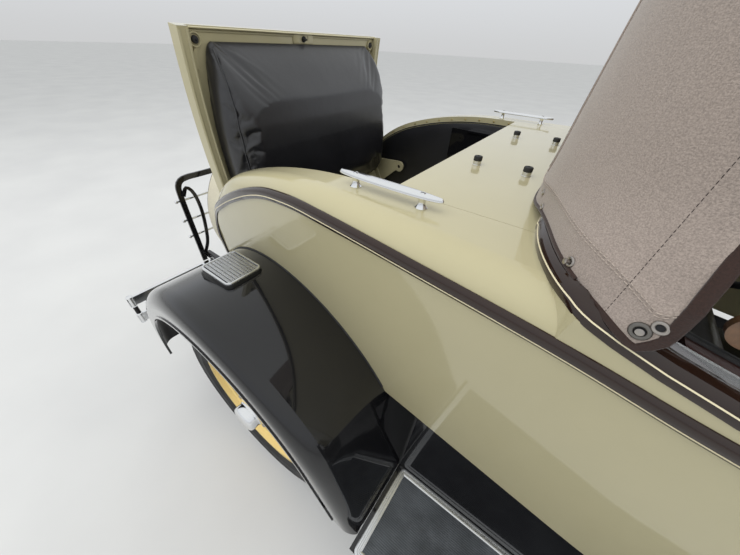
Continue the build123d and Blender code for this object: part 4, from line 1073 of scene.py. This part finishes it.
# Spare cover: a fitted cream cloth piped at both rims
COVER = ((62, 65), (120, 67.5), (220, 67), (296, 65.5), (330, 61), (352, 55), (362.5, 45), (363.5, 20),
         (363, -20), (361.5, -50), (352, -60), (330, -64), (304, -65))
cover = piece("spare_cover_cloth", [lathe(COVER, SPARE, -FORWARD, 96)], "cover")
thickened(cover, 0.002)
settled(cover)
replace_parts(cover, "spare_cover")
piping = []
for radius, along in ((62, 66), (355, 55.5), (304, -65)):
    turns = [2 * pi * k / 96 for k in range(96)]
    ring = [SPARE + Vector((-along, radius * cos(t), radius * sin(t))) * MM for t in turns]
    piping.append(tube(ring, 2.8, 8, closed=True))
cover_piping = piece("spare_cover_piping", piping, "binding")

# Cushions: closed forms, stuffed by a short cloth simulation, then seamed and piped
VOXEL = 0.006
STUFFING = 4.0
STUFFING_FRAMES = 20
SEAT_HELD = 0.006
PIPE = 2.4
STITCHES_BESIDE = 0.0075
SEAM_DEPTH, SEAM_REACH = 4.0, 9.0


def blow_up(obj, base, cap):
    """Stuffs a cushion by pressure, no further than cap from its form, and keeps its base in place."""
    start = [vert.co.copy() for vert in obj.data.vertices]
    obj.vertex_groups.new(name="base").add(base, 1.0, "REPLACE")
    cloth = obj.modifiers.new("stuffing", "CLOTH")
    settings = cloth.settings
    settings.use_pressure = True
    settings.uniform_pressure_force = STUFFING
    settings.effector_weights.gravity = 0.0
    settings.vertex_group_mass = "base"
    settings.quality = 5
    settings.tension_stiffness = settings.compression_stiffness = 15.0
    settings.shear_stiffness = 5.0
    settings.bending_stiffness = 0.6
    cloth.collision_settings.use_collision = False
    for number in range(STUFFING_FRAMES):
        SCENE.frame_set(number + 1)
    settled(obj)
    SCENE.frame_set(1)
    for vert, place in zip(obj.data.vertices, start):
        moved = vert.co - place
        if moved.length > cap * MM:
            vert.co = place + moved.normalized() * (cap * MM)


def stuffed(name, shape, body, held, cap):
    """A cushion blown up from a slightly smaller form; held says where it rests on its base."""
    obj = piece(name, [shape], "leather", body)
    even = obj.modifiers.new("even_mesh", "REMESH")
    even.mode = "VOXEL"
    even.voxel_size = VOXEL
    settled(obj)
    eased = obj.modifiers.new("eased", "SMOOTH")
    eased.factor = 0.5
    eased.iterations = 6
    settled(obj)
    blow_up(obj, [vert.index for vert in obj.data.vertices if held(vert.co)], cap)
    subdivided(obj)
    return settled(obj)


def surface_line(obj, line, lift=0.0):
    """A line laid on a cushion's surface, with its normals."""
    tree = tree_of(obj)
    middle = sum((Vector(corner) for corner in obj.bound_box), Vector()) / 8
    places, normals = [], []
    for point in line:
        place, normal, _, _ = tree.find_nearest(point)
        places.append(place)
        normals.append(-normal if normal.dot(place - middle) < 0 else normal)
    normals = averaged(normals)
    smooth = [sum(run, Vector()) / len(run) for run in (near(places, i, 2) for i in range(len(places)))]
    return [place + normal * (lift * MM) for place, normal in zip(smooth, normals)], normals


def pinched(obj, lines):
    """Pulls the cover in along its seams."""
    points = [point for line in lines for point in line]
    seam = KDTree(len(points))
    for index, point in enumerate(points):
        seam.insert(point, index)
    seam.balance()
    normals = [vert.normal.copy() for vert in obj.data.vertices]
    for vert, normal in zip(obj.data.vertices, normals):
        share = seam.find(vert.co)[2] / (SEAM_REACH * MM)
        if share < 3:
            vert.co -= normal * (SEAM_DEPTH * MM * 2.718 ** (-share * share))
    obj.data.update()


def finish_cushion(obj, body, lines):
    lines = [surface_line(obj, line)[0] for line in lines]
    pinched(obj, lines)
    tubes, threads = [], []
    for line in lines:
        places, normals = surface_line(obj, line, PIPE * 0.55)
        tubes.append(tube(places, PIPE, 8))
        beside = [place + normal.cross(along).normalized() * STITCHES_BESIDE
                  for place, normal, along in zip(places, normals, tangents(places))]
        threads += stitches(*surface_line(obj, beside, 0.1), 3.4, 5.2, 0.42)
    piece(f"{obj.name}_piping", tubes, "leather", body)
    piece(f"{obj.name}_stitching", threads, "dark_thread", body)


# Lid cushion: boxed, its face growing out from the lid's free edge
LID_FACE = (
    # place along the closed lid, how far the face stands off, half-width
    (268, 10, 366), (263, 22, 374), (254, 36, 380), (240, 52, 385), (218, 74, 390), (178, 99, 396),
    (118, 120, 403), (50, 132, 408), (-30, 137, 411), (-110, 133, 412), (-190, 120, 411), (-250, 99, 408),
    (-282, 73, 402), (-296, 43, 395),
)
LID_BASE, LID_HELD = 18.8, 24


def on_lid_base(place):
    x, z = turned((place.x - REAR_AXLE_X) / MM, place.z / MM, -LID_TURN)
    return deck_z(x) - z < LID_HELD


lid_rows = []
for u, thick, half in LID_FACE:
    ring = rounded(2 * half, thick, min(26, thick * 0.45), min(6, thick * 0.2), 5)
    lid_rows.append([lid_place(u, y, LID_BASE + depth) for y, depth in ring])
fine_rows = [[p.lerp(q, share) for p, q in zip(a, b)] for a, b in zip(lid_rows, lid_rows[1:])
             for share in (0, 0.25, 0.5, 0.75)]
lid_pad = stuffed("lid_cushion_cover", capped([*fine_rows, lid_rows[-1]]), "lid", on_lid_base, 15)
lid_seams = []
for side in (-1, 1):
    seam = curve_through([(u, side * (half - 4), thick + 12.5) for u, thick, half in LID_FACE[1:-1]], 9)
    lid_seams.append([lid_place(*point) for point in seam])
finish_cushion(lid_pad, "lid", lid_seams)
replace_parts(lid_pad, "lid_cushion")


# Seat cushions, boxed and piped round the top
def boxed(place, across, along, width, depth, height, corner, crown=12):
    """A cushion on its base: rounded in plan, with a crowned top."""
    levels = ((16, corner, 0), (4, corner, 8), (0, corner, height * 0.45), (2, corner, height - 16),
              (10, corner, height - 5), (26, corner * 0.9, height), (90, corner * 0.7, height + crown * 0.5))
    top = (width * 0.55, depth * 0.45, corner * 0.5, height + crown)
    return stack(place, across, along, [*((width - less, depth - less, r, z) for less, r, z in levels), top])


def rim_seam(place, across, along, width, depth, height, corner):
    """A closed seam just inside a cushion's upper edge."""
    ring = flat_ring(place, across, along, width - 4, depth - 4, corner, height - 4, 10)
    made = []
    for a, b in zip(ring, [*ring[1:], ring[0]]):
        count = max(1, round((b - a).length / MM / 8.0))
        made += [a.lerp(b, k / count) for k in range(count)]
    return [*made, made[0]]


SEATS = (
    # name, node, the middle of its base, length, width, height, panels
    ("rumble_seat_cover", "rumble_seat_cushion", mm(30, 0, 641.5), 424, 784, 84, 1),
    ("front_seat_cover", "front_seat", mm(965, 0, 602), 430, 990, 138, 2),
)
for name, node, place, width, depth, height, panels in SEATS:
    form = (place, FORWARD, LEFT, width, depth, height, 34)
    pad = stuffed(name, boxed(*form), "chassis", lambda p, base=place.z: p.z < base + SEAT_HELD, 22)
    seams = [rim_seam(*form)]
    for k in range(1, panels):
        seams.append([place + Vector((u * 10, depth * (k / panels - 0.5), height + 12)) * MM
                      for u in range(int(-width / 20) + 3, int(width / 20) - 2)])
    finish_cushion(pad, "chassis", seams)
    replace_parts(pad, node)

# The front seat's back: fluted with sewn channels, leaning on the wall behind it
BACK_PLACE, BACK_HEIGHT = mm(630, 0, 950), 84
back_up = Vector((-60, 0, 350)).normalized()
back_out = LEFT.cross(back_up)
form = (BACK_PLACE, LEFT, back_up, 990, 340, BACK_HEIGHT, 30)
back = stuffed("front_back_cover", boxed(*form, 10), "chassis",
               lambda p: (p - BACK_PLACE).dot(back_out) < SEAT_HELD, 20)
back_seams = [rim_seam(*form)]
for y in (-165, 165):
    back_seams.append([BACK_PLACE + (LEFT * y + back_up * (v * 10) + back_out * (BACK_HEIGHT + 10)) * MM
                       for v in range(-14, 15)])
finish_cushion(back, "chassis", back_seams)

# Lid's inner edge: two beads with a groove between, a flange at the free edge, corner pads and the latch
BEAD = ((-3.6, -1), (-3.6, 0.4), (-2.4, 1.9), (0, 2.6), (2.4, 1.9), (3.6, 0.4), (3.6, -1))
FLANGE = ((-2.5, -1), (-2.5, 7), (-1.8, 9), (-0.6, 10), (0.6, 10), (1.8, 9), (2.5, 7), (2.5, -1))
CORNER_RIM = ((18.5, 0), (18.5, 6), (17, 8), (15, 8), (13.6, 6), (12.5, 3.5), (0.01, 3.5))
CORNER_WEB = ((0, 0, 0), (10, 18, 0), (26, 34, 0), (56, 42, 0))
WEB_SECTION = ((-7, -1), (-6, 4.5), (0, 6.0), (6, 4.5), (7, -1))
BUTTON = ((9.6, 2), (9.6, 8), (8.4, 10), (5, 10.8), (0.01, 11))
SCREW = ((2.8, 10), (2.8, 11.6), (2.0, 12.1), (0.01, 12.1))
LATCH_PLATE = ((96, 30, 8, -1), (96, 30, 8, 3), (90, 25, 7, 5), (44, 22, 7, 5.2), (42, 20, 7, 3.5))
STRIKER = ((-7, 4), (-7, 14), (0, 18), (7, 14), (7, 4))
STRIKER_BOSS = ((0.01, 0), (9, 0), (9, 4), (7.5, 6), (0.01, 6))
INSIDE = (lid_place(200, 0, 30) - lid_place(200, 0, 0)).normalized()
TOWARD = (lid_place(290, 0, 20) - lid_place(250, 0, 20)).normalized()
edging, buttons, screws = [], [], []
for side in (-1, 1):
    for y in (431.5, 452.5):
        line = [lid_place(-425 + (292 + 425) * k / 90, side * y, 40) for k in range(91)]
        edging.append(sweep(line, BEAD, [LEFT.cross(along) for along in tangents(line)]))
for x, depth, half, section in ((294, 17, 452, FLANGE), (287, 18, 424, BEAD)):
    edging.append(sweep([lid_place(x, y, depth) for y in range(-half, half + 1, 8)], section, INSIDE))
for side in (-1, 1):
    spot = lid_place(268, side * 407, 18)
    arm = [lid_place(254 - p.x, side * (403 + p.y * 0.3), 18) for p in curve_through(CORNER_WEB, 4)]
    edging += [lathe(CORNER_RIM, spot, INSIDE, 36), sweep(arm, WEB_SECTION, INSIDE)]
    buttons.append(lathe(BUTTON, spot, INSIDE, 28))
    screws.append(lathe(SCREW, spot, INSIDE, 16))
latch_at = lid_place(279, 0, 18)
edging.append(stack(latch_at, LEFT, TOWARD, LATCH_PLATE))
piece("lid_inner_edging", edging, "body", "lid")
piece("lid_corner_buffers", buttons, "rubber", "lid")
piece("lid_buffer_screws", screws, "iron", "lid")
striker = tube([latch_at + (LEFT * y + INSIDE * out) * MM for y, out in STRIKER], 2.6)
boss = lathe(STRIKER_BOSS, latch_at + INSIDE * (3 * MM), INSIDE, 20)
piece("lid_striker", [striker, boss], "iron", "lid")

# Black trim inside the rumble opening, its rubber strip and fasteners
TRIM_FOOT = 648
TRIM_ROWS = ((464.2, 0.0), (462.8, 0.01), (462.8, 0.3), (462.8, 0.6), (462.8, 0.9), (462.8, 0.985),
             (464.2, 1.0))
FASTENER = ((3.6, -0.5), (3.4, 0.8), (2.0, 1.6), (0.01, 1.8))
trim, strips, studs = [], [], []
for side in (-1, 1):
    rows = []
    for x in (-424 + (298 + 424) * k / 45 for k in range(46)):
        rise = deck_z(x) - 26 - TRIM_FOOT
        rows.append([mm(x, side * y, TRIM_FOOT + rise * share) for y, share in TRIM_ROWS])
    trim.append(grid(rows))
    strips.append(tube([mm(x, side * 463.4, deck_z(x) - 22) for x in range(-424, 299, 9)], 2.2, 8))
    places = [mm(x, side * 463.6, deck_z(x) - 12) for x in range(-400, 296, 62)]
    studs += [lathe(FASTENER, place, LEFT * -side, 14) for place in places]
piece("rumble_side_trim", trim, "leather")
piece("rumble_weather_strip", strips, "rubber")
piece("rumble_strip_fasteners", studs, "brass")

# Window channels let into the rail and the doors' sills
CHANNEL_LIPS = (-77.5, -71.5, -68.4)
CHANNEL = ((0, 12), (0, 21.5), (0.5, 22.4), (1.9, 22.4), (2.4, 21.5), (2.4, 12))
GARNISH = ((-42, 6), (-42, 21.6), (-46, 22.2), (-64, 20.6), (-67, 19.4), (-67.6, 16.5), (-78.4, 16.5),
           (-80, 15), (-80.5, 6))
for word, side in SIDES.items():
    for part, body, start, end in (("door", f"{word}_door", 952, 1470), ("quarter", "chassis", 760, 940)):
        line = sill_line(word, start, end)
        lips = [sweep(line, tuple((lip + u, v) for u, v in CHANNEL), UP, side) for lip in CHANNEL_LIPS]
        piece(f"window_channel_{part}_{word}", lips, "rubber", body)
        piece(f"sill_garnish_{part}_{word}", [sweep(line, GARNISH, UP, side)], "satin", body)

# Lamps: a domed, fluted lens in a bright rim on each headlamp, and red tail lenses
HEADLAMP, TAIL_LAMP = (2805, 330, 930), (-585, 520, 520)
LAMP_PARTS = (
    # name, material, place on one side, way it faces, segments, profile
    ("headlamp_rims", "chrome", HEADLAMP, FORWARD, 64,
     ((104, 1), (106, 9), (110, 12.5), (115, 11), (118.5, 4), (118.5, -8), (115, -9))),
    ("headlamp_lenses", "lens", HEADLAMP, FORWARD, 64,
     ((0.01, 24), (30, 22.6), (60, 17.5), (86, 10.5), (106, 3), (106, 0.5))),
    ("tail_lamp_lenses", "red_glass", TAIL_LAMP, -FORWARD, 40,
     ((0.01, 10), (16, 9), (30, 5.5), (38, 1), (38, -1))),
    ("tail_lamp_rims", "chrome", TAIL_LAMP, -FORWARD, 40,
     ((37, -2), (37.5, 3.5), (40.5, 5), (45.6, 2), (46, -8))),
)
for name, finish, (x, y, z), facing, segments, profile in LAMP_PARTS:
    piece(name, [lathe(profile, mm(x, side * y, z), facing, segments) for side in (-1, 1)], finish)

# Radiator fins between the shell's edges, and its cap
fins = [bar((2621, 2627), (y - 1.2, y + 1.2), (672, 1000 - abs(y) * 0.06), 0.5) for y in range(-234, 235, 12)]
fins += [bar((2621.5, 2625), (-238, 238), (z - 0.5, z + 0.5), 0.2) for z in range(680, 990, 9)]
piece("radiator_fins", fins, "iron")
RADIATOR_CAP = ((34, 0), (34.5, 4), (30, 7), (27, 10), (27, 19), (24.5, 23), (14, 26), (0.01, 27))
piece("radiator_cap", [lathe(RADIATOR_CAP, mm(2595, 0, 1104), UP)], "chrome")

# Instrument panel: a bright oval plate with three plain dials
PLATE = ((300, 96, 44, -1), (300, 96, 44, 2), (292, 88, 40, 4), (284, 80, 36, 4.2), (280, 76, 34, 3.0))
facing, plate_across = -FORWARD, -LEFT
piece("instrument_plate", [stack(mm(1500, 0, 1090), plate_across, UP, PLATE)], "nickel")
bezels, dials, ticks = [], [], []
for y, radius in ((-95, 25), (0, 33), (95, 25)):
    spot = mm(1500, y, 1090)
    rim = ((radius, 2), (radius + 0.5, 8), (radius - 3, 10), (radius - 5, 8), (radius - 5, 5))
    bezels.append(lathe(rim, spot, facing, 36))
    dials.append(lathe(((0.01, 5.2), (radius - 4.6, 5.2), (radius - 4.6, 3)), spot, facing, 36))
    for turn in (radians(-130 + 26 * k) for k in range(11)):
        way = plate_across * sin(turn) + UP * cos(turn)
        ticks.append(tube([spot + (facing * 5.4 + way * (radius - inset)) * MM for inset in (11, 7)], 0.5, 5))
    hand = (UP - plate_across * 0.8).normalized() * (radius - 9)
    ticks.append(tube([spot + (facing * 6.2 + hand * share) * MM for share in (0, 1)], 0.7, 5))
piece("dial_bezels", bezels, "chrome")
piece("dial_faces", dials, "dial")
piece("dial_ticks", ticks, "dark")

# Pedals, gear lever and hand brake, all left without joints
PEDAL_PAD = ((50, 62, 10, -4), (54, 66, 12, 0), (54, 66, 12, 6), (48, 60, 10, 9))
KNOB = ((0.01, -17), (9, -15), (17, -7), (18.5, 2), (15, 12), (7, 18), (0.01, 19))
controls = []
for y in (270, 395):
    controls.append(tube(bent([(1640, y, 716), (1600, y, 700), (1556, y, 706), (1540, y, 716)]), 6.5))
    controls.append(stack(mm(1541, y, 720), LEFT, Vector((0.6, 0, 0.8)), PEDAL_PAD))
controls.append(tube(bent([(1380, 0, 613), (1372, 0, 700), (1335, 4, 800), (1300, 10, 870)]), 7, 12))
controls.append(tube(bent([(1440, 70, 613), (1420, 70, 700), (1385, 70, 800)]), 6, 12))
piece("pedals_and_levers", controls, "iron")
piece("gear_lever_knob", [lathe(KNOB, mm(1296, 10.6, 880), (-0.5, 0.1, 0.86), 28)], "rubber")

# Door handles over their bosses, and hub bolts on each wheel
HANDLE_RUN = ((1003, 655, 1010), (1008, 668, 1010), (1030, 672, 1009.5), (1070, 672, 1007), (1100, 670, 1005))
HANDLE_BOSS = ((17, 0), (17.5, 2), (14, 4.5), (10.5, 8), (9.6, 24), (0.01, 26))
for word, side in SIDES.items():
    handle = tube(bent([(x, side * y, z) for x, y, z in HANDLE_RUN]), 9.0, 12)
    boss = lathe(HANDLE_BOSS, mm(1010, side * 640, 1010), LEFT * side, 28)
    piece(f"door_handle_{word}", [handle, boss], "chrome", f"{word}_door")
for end, word, x in WHEELS:
    side = SIDES[word]
    turns = [2 * pi * k / 5 + 0.3 for k in range(5)]
    spots = [mm(x + 70 * cos(t), side * (HALF_TRACK + 38), AXLE_Z + 70 * sin(t)) for t in turns]
    piece(f"hub_nuts_{end}_{word}", [lathe(HUB_NUT, spot, LEFT * side, 6) for spot in spots], "nickel",
          f"{end}_wheel_{word}")

# Floor, backdrop and light: a plain pale floor under a broad, even sky
FLOOR_SIZE = 60.0
FLOOR_TONES = [(0.3, (0.575, 0.575, 0.57)), (0.7, (0.625, 0.625, 0.615))]
SKY = ((0.44, (0.62, 0.62, 0.61)), (0.505, (0.70, 0.71, 0.72)), (0.60, (0.86, 0.89, 0.93)),
       (0.86, (0.98, 1.0, 1.0)))
SKY_STRENGTH = 0.9
LIGHTS = (
    # name, place, size across, power
    ("key_light", (-2.5, -3.0, 7.0), 7.0, 330.0),
    ("fill_light", (4.0, 4.0, 6.0), 6.0, 120.0),
)
LIGHT_TARGET = Vector((-0.6, 0, 0.8))


def make_floor():
    mesh = bpy.data.meshes.new("floor_plane")
    corners = [(x * FLOOR_SIZE, y * FLOOR_SIZE, 0) for x, y in ((-1, -1), (1, -1), (1, 1), (-1, 1))]
    mesh.from_pydata(corners, [], [(0, 1, 2, 3)])
    made = Shader("studio_floor_paint", (0.60, 0.60, 0.59), 0.8)
    made.set("Base Color", made.ramp(made.noise(1.5, 5.0), FLOOR_TONES))
    mesh.materials.append(made.material)
    placed("studio_floor", mesh)


def make_sky():
    SCENE.world = bpy.data.worlds.new("sky")
    SCENE.world.use_nodes = True
    sky = Tree(SCENE.world.node_tree)
    background = sky.tree.nodes["Background"]
    split = sky.node("SeparateXYZ", Vector=sky.node("TexCoord").outputs["Generated"])
    height = sky.node("Math", operation="MULTIPLY_ADD")
    for socket, value in zip(height.inputs, (split.outputs["Z"], 0.5, 0.5)):
        sky.put(socket, value)
    sky.put(background.inputs["Color"], sky.ramp(height.outputs[0], SKY))
    sky.put(background.inputs["Strength"], SKY_STRENGTH)


make_floor()
make_sky()
for name, place, size, power in LIGHTS:
    data = bpy.data.lights.new(name, "AREA")
    data.size = size
    data.energy = power
    light = placed(name, data)
    light.visible_glossy = False
    light.location = place
    light.rotation_euler = (LIGHT_TARGET - light.location).to_track_quat("-Z", "Y").to_euler()
SCENE.view_settings.view_transform = "Standard"
